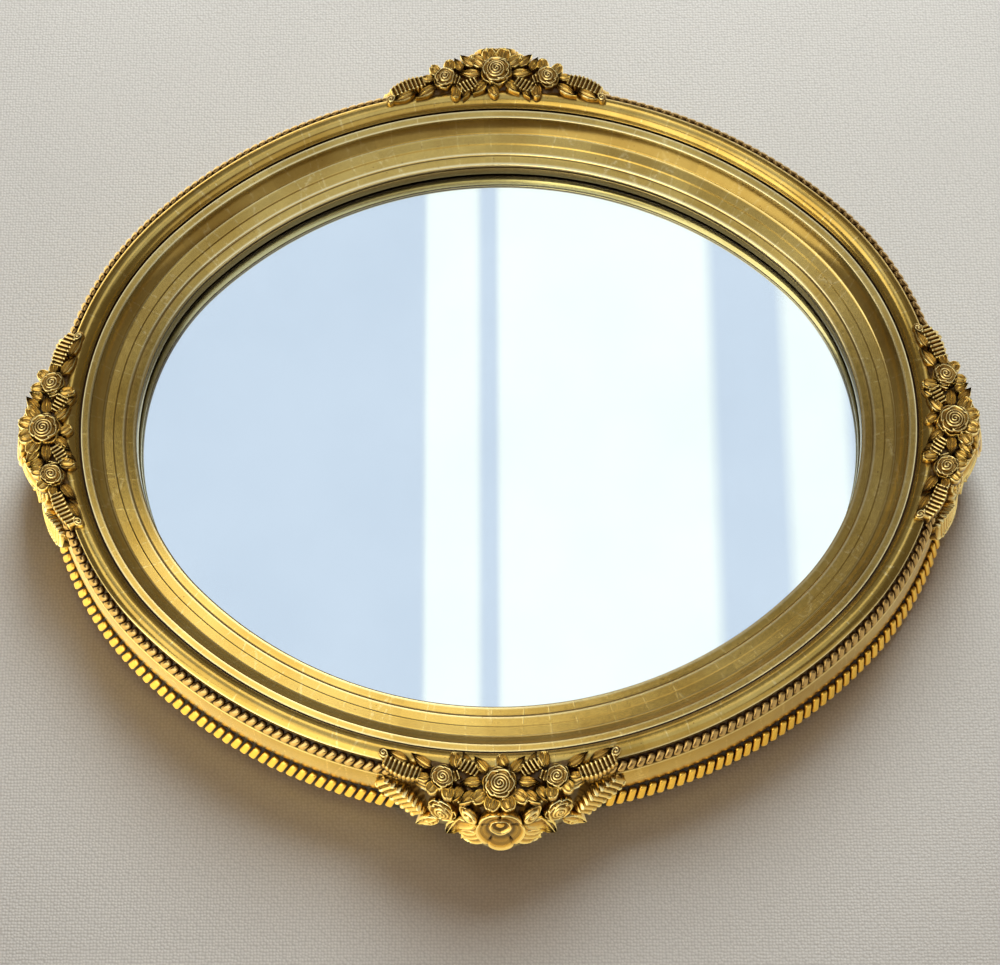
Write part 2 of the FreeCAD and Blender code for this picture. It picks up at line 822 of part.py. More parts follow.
def build():
    """Build every piece of the mirror and give back the ones that are exported."""
    section, rope_seat = moulding_section()
    blanks = {side: sector("blank", side, section) for side in SIDES}
    keys = make_keys()
    ring_section = [
        (S["ring_inner"], S["felt_thickness"], None),
        (S["ring_foot"], S["felt_thickness"], None),
        (S["ring_foot"], S["felt_thickness"] + S["foot_height"], None),
        (S["ring_shoulder"], BOARD_BACK, None),
        (S["ring_inner"], BOARD_BACK, None),
    ]
    gadroon_seat = (ring_section[3][:2], ring_section[2][:2])
    ring = oval("back_ring", ring_section)
    felt = oval(
        "wall_felt",
        [
            (S["felt_inner"], ZERO, None),
            (S["felt_outer"], ZERO, None),
            (S["felt_outer"], S["felt_thickness"], None),
            (S["felt_inner"], S["felt_thickness"], None),
        ],
    )
    slip_outer = S["rabbet_width"] - S["slip_clearance"]
    slip = oval(
        "sight_slip",
        [
            (S["slip_reveal"], GLASS_FRONT, None),
            (slip_outer, GLASS_FRONT, None),
            (slip_outer, LIP_BACK, None),
            (S["slip_reveal"] + S["slip_bevel"], LIP_BACK, None),
            (S["slip_reveal"], GLASS_FRONT + S["slip_face"], None),
        ],
    )
    board = disc("backing_board", S["glass_overlap"], BOARD_BACK, S["board_thickness"])
    silver = disc("mirror_silver", S["glass_overlap"], SILVER_BACK, S["silver_thickness"])
    glass = disc("mirror_glass", S["glass_overlap"], GLASS_BACK, S["glass_thickness"])
    pieces = [keys, ring, felt, slip, board, silver, glass]

    bores = []
    button_screws = []
    grip = S["button_thickness"] + S["pivot_clearance"] * 2
    for name, (side, angle) in BUTTONS.items():
        pivot = spot_on(side, angle, S["button_place"])
        pieces.append(make_button(f"turn_button_{name}", pivot.spin(180)))
        screw, bore = make_screw(f"button_screw_{name}", pivot, grip)
        button_screws.append(screw)
        bores.append(bore)
    hanger_screws = []
    tilt = S["hanger_angle"].value
    hangers = (("right", tilt, 0), ("left", 180 - tilt, 180))
    for side, angle, turn in hangers:
        spot = spot_on(side, angle, S["hanger_place"]).spin(turn)
        strap, ring_piece, screws, pilots = make_hanger(side, spot)
        pieces += [strap, ring_piece]
        hanger_screws += screws
        bores += pilots
    pieces.append(fuse("turn_button_screws", button_screws))
    pieces.append(fuse("hanger_screws", hanger_screws))
    pilot_bores = fuse("pilot_bores", bores)
    for side, blank in blanks.items():
        pieces.append(cut(f"frame_{side}", cut(f"keyed_{side}", blank, keys), pilot_bores))

    masters = {
        "rope_bead": make_bead("rope_bead", S["rope_length"], S["rope_radius"]),
        "gadroon": make_bead("gadroon", S["gadroon_length"], S["gadroon_radius"]),
        "leaf": make_leaf("leaf", S["leaf_length"], S["leaf_width"], S["leaf_height"]),
        "bud": make_leaf("bud", S["bud_length"], S["bud_width"], S["bud_height"]),
        "ribbon": make_ribbon("ribbon"),
        "rose": make_rose("rose", "rose"),
        "side_rose": make_rose("side_rose", "side_rose"),
    }
    DOC.recompute()
    for quarter in QUARTERS:
        pieces.append(make_course("rope", quarter, masters["rope_bead"], rope_seat, "rope"))
        pieces.append(make_course("gadroons", quarter, masters["gadroon"], gadroon_seat, "gadroon"))
    for side in SIDES:
        plaque = make_plaque(side, blanks[side], ring)
        pieces += [plaque, make_bloom(side, blanks[side], plaque)]
        pieces += make_motifs(side, masters)
    DOC.recompute()
    return pieces


def check(pieces):
    """Stop if any object failed or any piece has no valid shape."""
    for item in DOC.Objects:
        if "Invalid" in item.State or "Error" in item.State:
            raise RuntimeError(f"{item.Label} failed: {item.State}")
    for piece in pieces:
        if piece.Shape.isNull() or not piece.Shape.isValid():
            raise RuntimeError(f"{piece.Label} has no valid shape")


def main():
    """Build, check and write every piece."""
    pieces = build()
    check(pieces)
    os.makedirs("parts", exist_ok=True)
    for piece in pieces:
        piece.Shape.exportStep(f"parts/{piece.Label}.step")
    print(len(pieces), "pieces written")


main()
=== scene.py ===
"""Looks of the oval gilt wall mirror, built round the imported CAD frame."""

import logging
import math
from dataclasses import dataclass, field, replace
from enum import Enum
from typing import Any, Iterator, Optional, Sequence, Union

import bmesh
import bpy
import numpy as np
from mathutils import Matrix, Vector


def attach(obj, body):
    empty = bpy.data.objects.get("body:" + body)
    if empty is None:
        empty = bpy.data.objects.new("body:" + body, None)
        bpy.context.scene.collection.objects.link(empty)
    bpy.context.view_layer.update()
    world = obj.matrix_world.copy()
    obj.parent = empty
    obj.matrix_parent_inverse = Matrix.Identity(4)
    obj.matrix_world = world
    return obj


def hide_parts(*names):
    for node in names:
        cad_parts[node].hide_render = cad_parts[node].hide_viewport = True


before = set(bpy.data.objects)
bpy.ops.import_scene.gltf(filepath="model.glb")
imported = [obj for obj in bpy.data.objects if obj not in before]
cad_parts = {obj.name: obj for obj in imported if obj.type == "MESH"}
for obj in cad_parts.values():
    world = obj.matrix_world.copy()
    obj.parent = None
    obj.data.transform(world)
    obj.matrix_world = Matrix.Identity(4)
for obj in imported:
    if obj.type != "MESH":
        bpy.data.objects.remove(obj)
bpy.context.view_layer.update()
LOG = logging.getLogger("oval_mirror")
BODY = "mirror"
MM = 0.001
# Point attribute with the place along and across a run, and the point's painted highlight and wear
# (up to 1) or painted shade and glaze (down to -1)
LAY = "lay"
Colour = tuple[float, float, float, float]
Pairs = tuple[tuple[float, float], ...]


class Side(Enum):
    """The four quarters of the oval, by the direction of their middle in degrees."""

    RIGHT = 0
    TOP = 90
    LEFT = 180
    BOTTOM = 270

    @property
    def word(self) -> str:
        """The side's name as it stands in the names of pieces."""
        return self.name.lower()

    @property
    def long(self) -> bool:
        """Whether the side is one of the long pair, top and bottom."""
        return self in (Side.TOP, Side.BOTTOM)


class Course(Enum):
    """The two runs of beads round the frame."""

    ROPE = "rope"
    GADROONS = "gadroons"


class Form(Enum):
    """The forms that the ornaments are pressed from."""

    ROSE = "rose"
    SIDE_ROSE = "side_rose"
    BLOOM = "bloom"
    LEAF = "leaf"
    PETAL = "petal"
    BUD = "bud"
    RIBBON = "ribbon"
    CURL = "curl"


def linear(hex_colour: str) -> Colour:
    """Turn an sRGB hex colour to linear values.

    Args:
        hex_colour: the colour as #rrggbb.

    Returns:
        The linear red, green, blue and an alpha of one.
    """
    parts = [int(hex_colour[place : place + 2], 16) / 255 for place in (1, 3, 5)]
    red, green, blue = (c / 12.92 if c <= 0.04045 else ((c + 0.055) / 1.055) ** 2.4 for c in parts)
    return red, green, blue, 1.0


BLACK, PALE, WHITE = ((level, level, level, 1.0) for level in (0.0, 0.75, 1.0))


def node(
    tree: bpy.types.NodeTree,
    kind: str,
    inputs: Optional[dict[Union[str, int], Any]] = None,
    out: Union[str, int] = 0,
    **settings: Any,
) -> bpy.types.NodeSocket:
    """Add a shader node.

    Args:
        tree: the node tree that gets the node.
        kind: the node's type name after ShaderNode.
        inputs: input names or numbers, each with its value or the socket that feeds it.
        out: name or number of the output that is wanted.
        settings: properties of the node, and "stops" for a ramp.

    Returns:
        The wanted output.
    """
    item = tree.nodes.new(f"ShaderNode{kind}")
    for key, value in settings.items():
        if key != "stops":
            setattr(item, key, value)
            continue
        elements = item.color_ramp.elements
        while len(elements) < len(value):
            elements.new(0.5)
        for element, (place, colour) in zip(elements, value):
            element.position = place
            element.color = colour
    for key, value in (inputs or {}).items():
        if isinstance(value, bpy.types.NodeSocket):
            tree.links.new(value, item.inputs[key])
        else:
            item.inputs[key].default_value = value
    return item.outputs[out]


def start_material(name: str) -> tuple[bpy.types.Material, bpy.types.NodeTree]:
    """Start a node material.

    Args:
        name: the material's name.

    Returns:
        The material and its emptied tree.
    """
    material = bpy.data.materials.new(name)
    material.use_nodes = True
    material.node_tree.nodes.clear()
    return material, material.node_tree


def surface(tree: bpy.types.NodeTree, shader: bpy.types.NodeSocket, kind: str = "Material") -> None:
    """Link a finished shader to the output of its tree.

    Args:
        tree: the tree of a material or of the world.
        shader: what the tree shows.
        kind: Material or World.
    """
    output = tree.nodes.new(f"ShaderNodeOutput{kind}")
    tree.links.new(shader, output.inputs["Surface"])


def per_metre(size_mm: float) -> float:
    """Texture scale that repeats a pattern at a real size in millimetres."""
    return 1.0 / (size_mm * MM)


@dataclass(frozen=True)
class GoldLeaf:
    """Gold leaf laid over red clay, burnished and toned with a brown glaze.

    The eye sees a warm metal with soft broad gloss, and dark brown in the hollows and quirks that
    is partly the glaze and partly painted shade. Edges and ridges are paler, partly worn by rubbing
    and partly painted highlight, and fine laps and cracks run across the moulding. The lay
    attribute gives the place along and across the run in millimetres, and each point's painted
    highlight and wear (up to 1) or painted shade, glaze and bare wood (down to -1).
    """

    name: str
    leaf: str = "#caad60"
    tone: str = "#b8984c"
    # Pale colour of rubbed leaf, also used for painted highlight on edges and ridges
    rubbed_and_highlight: str = "#f6e6b0"
    clay: str = "#6b4420"
    # Dark colour of the glaze, also used for painted shade in hollows, quirks, gaps and grooves
    glaze: str = "#36200a"
    worn: Colour = (0.72, 0.68, 0.6, 1.0)
    roughness: float = 0.18
    gloss: float = 0.25
    patch_mm: float = 45.0
    mottle_mm: float = 2.4
    mottle_share: float = 0.25
    fleck_mm: float = 7.0
    # Reach of the ambient occlusion that darkens hollows: glaze and painted shade
    hollow_shade_mm: float = 2.6
    glaze_and_shade_from: float = 0.34
    glaze_and_shade_to: float = 0.75
    glaze_and_shade_metal: float = 0.15
    edge_share: float = 0.85
    crack_mm: float = 21.0
    crack_run_mm: float = 110.0
    crack_strength: float = 0.0
    square_mm: float = 78.0
    squares_across: float = 3.0
    grain_mm: float = 0.8
    bump_mm: float = 0.4
    bump: float = 0.03

    def material(self) -> bpy.types.Material:
        """Build the leaf's material.

        Returns:
            The finished material.
        """
        material, tree = start_material(self.name)
        place = node(tree, "TexCoord", out="Object")
        lay = node(tree, "Attribute", out="Vector", attribute_name=LAY)
        painted_light_and_wear = node(tree, "SeparateXYZ", {0: lay}, "Z")
        patch, mottle, height = (
            node(tree, "TexNoise", {"Scale": per_metre(size), "Detail": detail, "Vector": place})
            for size, detail in ((self.patch_mm, 3.0), (self.mottle_mm, 4.0), (self.grain_mm, 2.0))
        )
        tones = [(0.36, linear(self.leaf)), (0.66, linear(self.tone))]
        patches = node(tree, "ValToRGB", {"Fac": patch}, stops=tones)
        mottled = node(tree, "ValToRGB", {"Fac": mottle}, stops=[(0.32, self.worn), (0.6, WHITE)])
        shares = {0: self.mottle_share, 6: patches, 7: mottled}
        colour = node(tree, "Mix", shares, 2, data_type="RGBA", blend_type="MULTIPLY")
        # A positive lay value pales the leaf towards the rubbed colour: wear and painted highlight
        # on edges and ridges
        rise = {"Value": painted_light_and_wear, "From Min": 0.1, "From Max": 0.9, "To Max": self.edge_share}
        rub_and_highlight_share = node(tree, "MapRange", rise)
        rubbed_and_highlight = {0: rub_and_highlight_share, 6: colour, 7: linear(self.rubbed_and_highlight)}
        colour = node(tree, "Mix", rubbed_and_highlight, 2, data_type="RGBA")
        if self.crack_strength:
            colour, height = self.cracked(tree, lay, colour, height, mottle)
        fleck = node(tree, "TexVoronoi", {"Scale": per_metre(self.fleck_mm), "Vector": place})
        flecks = node(tree, "ValToRGB", {"Fac": fleck}, stops=[(0.04, PALE), (0.075, BLACK)])
        flecked = {0: flecks, 6: colour, 7: linear(self.clay)}
        colour = node(tree, "Mix", flecked, 2, data_type="RGBA")
        # Ambient occlusion darkens hollows towards the glaze colour: partly glaze, partly painted
        # shade
        near = node(tree, "AmbientOcclusion", {"Distance": self.hollow_shade_mm * MM}, "AO", samples=6)
        closed = {"Value": near, "From Min": self.glaze_and_shade_to, "From Max": self.glaze_and_shade_from}
        hollow_shade = node(tree, "MapRange", closed)
        # A negative lay value darkens the same way: painted shade in quirks, gaps and grooves, and
        # the bare back
        cut = node(tree, "MapRange", {"Value": painted_light_and_wear, "From Min": -0.05, "From Max": -0.85})
        glaze_and_shade_share = node(tree, "Math", {0: hollow_shade, 1: cut}, operation="MAXIMUM")
        toned = {0: glaze_and_shade_share, 6: colour, 7: linear(self.glaze)}
        spread = {"To Min": self.roughness - 0.03, "To Max": self.roughness + 0.06}
        relief = {"Strength": self.bump, "Distance": self.bump_mm * MM, "Height": height}
        bare = {"Value": glaze_and_shade_share, "To Min": 1.0, "To Max": self.glaze_and_shade_metal}
        inputs = {
            "Base Color": node(tree, "Mix", toned, 2, data_type="RGBA"),
            "Metallic": node(tree, "MapRange", bare),
            "Roughness": node(tree, "MapRange", {"Value": mottle, **spread}),
            "Normal": node(tree, "Bump", relief),
            "Specular IOR Level": self.gloss,
        }
        surface(tree, node(tree, "BsdfPrincipled", inputs))
        return material

    def cracked(
        self,
        tree: bpy.types.NodeTree,
        lay: bpy.types.NodeSocket,
        colour: bpy.types.NodeSocket,
        height: bpy.types.NodeSocket,
        breaks: bpy.types.NodeSocket,
    ) -> tuple[bpy.types.NodeSocket, bpy.types.NodeSocket]:
        """Draw laps and cracks of the leaf across the run of the moulding.

        Args:
            tree: the material's tree.
            lay: place along and across the run.
            colour: the colour so far.
            height: the relief so far.
            breaks: a noise that breaks the lines up.

        Returns:
            The colour and the relief with the lines in them.
        """
        scale = (1.0 / self.crack_mm, 1.0 / self.crack_run_mm, 0.0)
        drawn = node(tree, "VectorMath", {0: lay, 1: scale}, operation="MULTIPLY")
        spaced = {"Vector": drawn, "Scale": 1.0}
        cells = node(tree, "TexVoronoi", spaced, feature="DISTANCE_TO_EDGE")
        lines = node(tree, "ValToRGB", {"Fac": cells}, stops=[(0.005, WHITE), (0.022, BLACK)])
        patchy = node(tree, "MapRange", {"Value": breaks, "From Min": 0.42, "From Max": 0.62})
        broken = node(tree, "Math", {0: lines, 1: patchy}, operation="MULTIPLY")
        amount = node(tree, "Math", {0: broken, 1: self.crack_strength}, operation="MULTIPLY")
        lined = {0: amount, 6: colour, 7: linear(self.rubbed_and_highlight)}
        colour = node(tree, "Mix", lined, 2, data_type="RGBA")
        lowered = node(tree, "Math", {0: height, 1: broken}, operation="SUBTRACT")
        return self.squared(tree, lay, colour), lowered

    def squared(
        self, tree: bpy.types.NodeTree, lay: bpy.types.NodeSocket, colour: bpy.types.NodeSocket
    ) -> bpy.types.NodeSocket:
        """Give each square of leaf along the run its own slight tone.

        Args:
            tree: the material's tree.
            lay: place along and across the run.
            colour: the colour so far.

        Returns:
            The colour with the squares in it.
        """
        scale = (1.0 / self.square_mm, self.squares_across / self.square_mm, 0.0)
        counted = node(tree, "VectorMath", {0: lay, 1: scale}, operation="MULTIPLY")
        square = node(tree, "VectorMath", {0: counted}, operation="FLOOR")
        chance = node(tree, "TexWhiteNoise", {"Vector": square}, noise_dimensions="3D")
        shade = node(tree, "MapRange", {"Value": chance, "To Min": 0.86, "To Max": 1.08})
        return node(tree, "VectorMath", {0: colour, "Scale": shade}, operation="SCALE")


@dataclass(frozen=True)
class Grained:
    """A plain stuff whose colour, gloss and relief follow its own fine grain.

    Wood shows drawn-out lines of growth, pressed fibre a matted cloud, plating fine rubbing marks
    and silvering a faint age. The two tones have their places in the grain, and the roughness its
    least and its most.
    """

    name: str
    tones: tuple[tuple[float, str], tuple[float, str]]
    grain_mm: float
    detail: float
    roughness: tuple[float, float]
    distortion: float = 0.0
    drawn: tuple[float, float, float] = (1.0, 1.0, 1.0)
    cloud_mm: float = 0.0
    cloud_share: float = 0.45
    relief: float = 0.0
    relief_mm: float = 0.3
    side_darkening: str = ""
    metal: float = 0.0
    nap: float = 0.0

    def material(self) -> bpy.types.Material:
        """Build the material.

        Returns:
            The finished material.
        """
        material, tree = start_material(self.name)
        place = node(tree, "TexCoord", out="Object")
        along = node(tree, "Mapping", {"Scale": self.drawn, "Vector": place})
        scale = per_metre(self.grain_mm * self.drawn[2])
        lines = {"Scale": scale, "Detail": self.detail, "Distortion": self.distortion}
        grain = shade = node(tree, "TexNoise", {**lines, "Vector": along})
        if self.cloud_mm:
            clouds = {"Scale": per_metre(self.cloud_mm), "Detail": 3.0, "Vector": place}
            both = {0: node(tree, "TexNoise", clouds), 1: self.cloud_share, 2: grain}
            shade = node(tree, "Math", both, operation="MULTIPLY_ADD")
        stops = [(at, linear(tone)) for at, tone in self.tones]
        colour = node(tree, "ValToRGB", {"Fac": shade}, stops=stops)
        # Faces that do not face the wall are darkened towards a second colour
        if self.side_darkening:
            normal = node(tree, "NewGeometry", out="Normal")
            facing = node(tree, "SeparateXYZ", {0: normal}, "Y")
            edge = node(tree, "ValToRGB", {"Fac": facing}, stops=[(0.3, WHITE), (0.85, BLACK)])
            side_darkened = {0: edge, 6: colour, 7: linear(self.side_darkening)}
            colour = node(tree, "Mix", side_darkened, 2, data_type="RGBA")
        least, most = self.roughness
        rough = least
        if most > least:
            rough = node(tree, "MapRange", {"Value": grain, "To Min": least, "To Max": most})
        inputs = {"Base Color": colour, "Roughness": rough, "Metallic": self.metal}
        inputs["Sheen Weight"] = self.nap
        if self.relief:
            dents = {"Strength": self.relief, "Distance": self.relief_mm * MM, "Height": grain}
            inputs["Normal"] = node(tree, "Bump", dents)
        surface(tree, node(tree, "BsdfPrincipled", inputs))
        return material


@dataclass(frozen=True)
class FloatGlass:
    """Clear float glass with a faint green body and a polished, very slightly wavy face."""

    name: str
    colour: str = "#f7fcfa"
    index: float = 1.52
    wave_mm: float = 160.0
    wave_depth_mm: float = 0.02

    def material(self) -> bpy.types.Material:
        """Build the glass.

        Returns:
            The finished material.
        """
        material, tree = start_material(self.name)
        place = node(tree, "TexCoord", out="Object")
        waves = {"Scale": per_metre(self.wave_mm), "Detail": 1.0, "Vector": place}
        wave = node(tree, "TexNoise", waves)
        relief = {"Strength": 0.01, "Distance": self.wave_depth_mm * MM, "Height": wave}
        inputs = {
            "Normal": node(tree, "Bump", relief),
            "Base Color": linear(self.colour),
            "Transmission Weight": 1.0,
            "Roughness": 0.0,
            "IOR": self.index,
        }
        surface(tree, node(tree, "BsdfPrincipled", inputs))
        return material


@dataclass(frozen=True)
class Plaster:
    """Painted plaster: matt, with a fine even texture of pits, and clear when seen from behind.

    The light that it throws on the gilding goes from one strength on the left to another on the
    right.
    """

    name: str
    colour: str
    grain_mm: float
    relief: float
    thrown: tuple[float, float] = (0.0, 0.0)
    thrown_colour: str = "#ffeca6"
    thrown_half: float = 0.25
    cloud_mm: float = 300.0
    pit_mm: float = 0.5
    deeper: float = 0.93
    roughness: float = 0.85
    gloss: float = 0.2

    def material(self) -> bpy.types.Material:
        """Build the plaster.

        Returns:
            The finished material.
        """
        material, tree = start_material(self.name)
        place = node(tree, "TexCoord", out="Object")
        pitting = {"Scale": per_metre(self.grain_mm), "Randomness": 0.4, "Vector": place}
        cells = node(tree, "TexVoronoi", pitting)
        clouds = {"Scale": per_metre(self.cloud_mm), "Detail": 2.0, "Vector": place}
        paint = linear(self.colour)
        tones = [(0.3, (*(part * self.deeper for part in paint[:3]), 1.0)), (0.7, paint)]
        tint = node(tree, "ValToRGB", {"Fac": node(tree, "TexNoise", clouds)}, stops=tones)
        # The dented edges of the pits are painted darker: painted shade in the pits
        pits = node(tree, "ValToRGB", {"Fac": cells}, stops=[(0.1, WHITE), (0.65, PALE)])
        shares = {0: self.relief, 6: tint, 7: pits}
        span = {"From Min": -self.thrown_half, "From Max": self.thrown_half}
        sideways = node(tree, "SeparateXYZ", {0: place}, "X")
        sides = {"Value": sideways, **span, "To Min": self.thrown[0], "To Max": self.thrown[1]}
        glossy = node(tree, "LightPath", out="Is Glossy Ray")
        lit = {0: node(tree, "MapRange", sides), 1: glossy}
        dents = {"Strength": self.relief, "Distance": self.pit_mm * MM, "Height": cells}
        inputs = {
            "Base Color": node(tree, "Mix", shares, 2, data_type="RGBA", blend_type="MULTIPLY"),
            "Emission Color": linear(self.thrown_colour),
            "Emission Strength": node(tree, "Math", lit, operation="MULTIPLY"),
            "Normal": node(tree, "Bump", dents, invert=True),
            "Roughness": self.roughness,
            "Specular IOR Level": self.gloss,
        }
        front = node(tree, "BsdfPrincipled", inputs)
        behind = node(tree, "NewGeometry", out="Backfacing")
        clear = node(tree, "BsdfTransparent")
        surface(tree, node(tree, "MixShader", {0: behind, 1: front, 2: clear}))
        return material


@dataclass(frozen=True)
class GlowCloth:
    """Glowing diffuser cloth with paler and dimmer folds across its width.

    Each band has its place across the width from 0 to 1 and its share of brightness.
    """

    name: str
    dim: str
    bright: str
    strength: float
    bands: Pairs = ((0.0, 1.0), (1.0, 1.0))

    def material(self) -> bpy.types.Material:
        """Build the cloth.

        Returns:
            The finished material.
        """
        material, tree = start_material(self.name)
        across = node(tree, "SeparateXYZ", {0: node(tree, "TexCoord", out="Generated")}, "X")
        stops = [(at, (level, level, level, 1.0)) for at, level in self.bands]
        share = node(tree, "ValToRGB", {"Fac": across}, stops=stops)
        tones = {0: share, 6: linear(self.dim), 7: linear(self.bright)}
        folds = node(tree, "Mix", tones, 2, data_type="RGBA")
        surface(tree, node(tree, "Emission", {"Strength": self.strength, "Color": folds}))
        return material


# Leaf on the turned moulding: soft broad gloss, with laps and cracks across the run
FRAME_LEAF = GoldLeaf("gold_leaf_on_moulding", crack_strength=0.3)
# Leaf on cast ornaments: smooth faces, ridges paled by wear and painted highlight, and darkening
# between the forms from glaze and painted shade
COMPO_LEAF = GoldLeaf(
    "gold_leaf_on_composition",
    leaf="#cfa958",
    tone="#b88f46",
    rubbed_and_highlight="#ffefb0",
    roughness=0.19,
    mottle_share=0.1,
    hollow_shade_mm=2.4,
    glaze_and_shade_from=0.3,
    glaze_and_shade_to=0.66,
    edge_share=0.9,
    bump=0.02,
)
# Leaf on the rope beads: painted shade, a darker, browner copy of the gold, with more darkening
# between the strands from glaze and painted shade
ROPE_LEAF = GoldLeaf(
    "gold_leaf_on_rope",
    leaf="#9c7b48",
    tone="#87693b",
    rubbed_and_highlight="#d2b277",
    roughness=0.2,
    hollow_shade_mm=3.6,
    glaze_and_shade_to=0.86,
)
# Leaf on the gadroons: a brighter, more yellow copy of the gold, painted light for the little light
# that reaches them, with a softer gloss
GADROON_LEAF_PAINTED_BRIGHT = GoldLeaf(
    "gold_leaf_on_gadroons",
    leaf="#e8b34c",
    tone="#d39b3a",
    rubbed_and_highlight="#ffdb70",
    roughness=0.28,
    hollow_shade_mm=2.2,
    edge_share=0.9,
)
# Leaf on the sight slip: a paler copy of the gold, painted light, with little darkening from the
# hollows
SLIP_LEAF = GoldLeaf("gold_leaf_on_slip", leaf="#e6d08c", tone="#d8bf78", hollow_shade_mm=0.9)
GLASS = FloatGlass("float_glass")
# Silver laid on the back of the glass: a clean, nearly perfect mirror
SILVER_TONES = ((0.35, "#f4f6f6"), (0.75, "#eef1f2"))
SILVER = Grained("silvering", SILVER_TONES, 90.0, 2.0, (0.012, 0.012), metal=1.0)
# Sawn softwood with drawn-out grain: bare in the keys; on the ring, darker on every face that does
# not face the wall
KEY_WOOD = Grained(
    "key_wood",
    ((0.36, "#7d5a34"), (0.62, "#b08a58")),
    grain_mm=3.2,
    detail=6.0,
    roughness=(0.55, 0.8),
    distortion=0.6,
    drawn=(1.0, 3.0, 14.0),
    relief=0.25,
)
PINE = replace(KEY_WOOD, name="sawn_pine", side_darkening="#22140a")
# Hardboard: short brown fibres pressed to an even sheet without gloss
HARDBOARD = Grained(
    "hardboard",
    ((0.5, "#573a23"), (0.95, "#7a5637")),
    grain_mm=1.4,
    detail=6.0,
    roughness=(0.6, 0.6),
    distortion=1.4,
    cloud_mm=60.0,
    relief=0.35,
)
# Wool felt: dark matted fibres with a soft nap
FELT = replace(
    HARDBOARD,
    name="wool_felt",
    tones=((0.5, "#2c2a29"), (0.95, "#4a4744")),
    grain_mm=1.1,
    roughness=(0.95, 0.95),
    nap=0.3,
)
# Satin brass plate: warm even gloss with fine rubbing marks
BRASS = Grained(
    "satin_brass",
    ((0.38, "#a37c34"), (0.6, "#cda24e")),
    grain_mm=1.6,
    detail=5.0,
    roughness=(0.24, 0.46),
    relief=0.05,
    relief_mm=0.1,
    metal=1.0,
)
# Zinc plate on screws, straps and rings: a cool grey, a little duller
ZINC_TONES = ((0.38, "#9b9ea0"), (0.6, "#c4c6c6"))
ZINC = replace(BRASS, name="zinc_plate", tones=ZINC_TONES, roughness=(0.26, 0.48))
# Wall paint with a fine pitted texture, and a plain brown floor
PAINTED_WALL = Plaster("painted_wall", "#e3e2dd", grain_mm=2.1, relief=0.8, thrown=(1.5, 0.3))
PALE_FLOOR = Plaster("pale_floor", "#a3968a", grain_mm=6.0, relief=0.05)


@dataclass(frozen=True)
class Oval:
    """The sight opening: four tangent quarter arcs, in millimetres."""

    width: float = 496.0
    height: float = 396.0

    @property
    def shift(self) -> float:
        """How far each arc's centre lies from the middle."""
        return (self.width - self.height) / (4 - 2 * math.sqrt(2))

    def radius(self, side: Side) -> float:
        """Radius of the sight edge on one side."""
        return self.height / 2 + self.shift if side.long else self.width / 2 - self.shift

    def centre(self, side: Side) -> tuple[float, float]:
        """Centre of one side's arc.

        Args:
            side: the side.

        Returns:
            Its place to the right and up.
        """
        return {
            Side.TOP: (0.0, -self.shift),
            Side.BOTTOM: (0.0, self.shift),
            Side.RIGHT: (self.shift, 0.0),
            Side.LEFT: (-self.shift, 0.0),
        }[side]

    def spot(self, side: Side, angle: float, out: float) -> tuple[float, float]:
        """A point on one arc.

        Args:
            side: the side that the arc is on.
            angle: the point's direction in degrees.
            out: its distance out from the sight edge.

        Returns:
            Its place to the right and up.
        """
        x, y = self.centre(side)
        reach, turn = self.radius(side) + out, math.radians(angle)
        return x + reach * math.cos(turn), y + reach * math.sin(turn)

    def angles(self, step: float) -> list[tuple[Side, float]]:
        """Directions right round the oval, evenly spaced on each arc.

        Args:
            step: the spacing in degrees.

        Returns:
            Each direction with the side it lies on, counter-clockwise and without a repeat.
        """
        count = round(90 / step)
        return [(side, side.value - 45 + 90 * k / count) for side in Side for k in range(count)]

    def ring(self, out: float, level: float) -> np.ndarray:
        """A closed loop of points round the oval at one distance out and one level."""
        return np.array([(*self.spot(side, angle, out), level) for side, angle in self.angles(1.0)])

    def along(self, side: Side, angle: float, out: float) -> float:
        """Length along the oval from its first joint.

        Args:
            side: the side that the length ends on.
            angle: the direction where it ends, in degrees.
            out: how far out from the sight edge it is measured.

        Returns:
            The length.
        """
        before = 0.0
        for other in Side:
            if other is side:
                break
            before += (self.radius(other) + out) * math.pi / 2
        return before + (self.radius(side) + out) * math.radians(angle - side.value + 45)


OVAL = Oval()


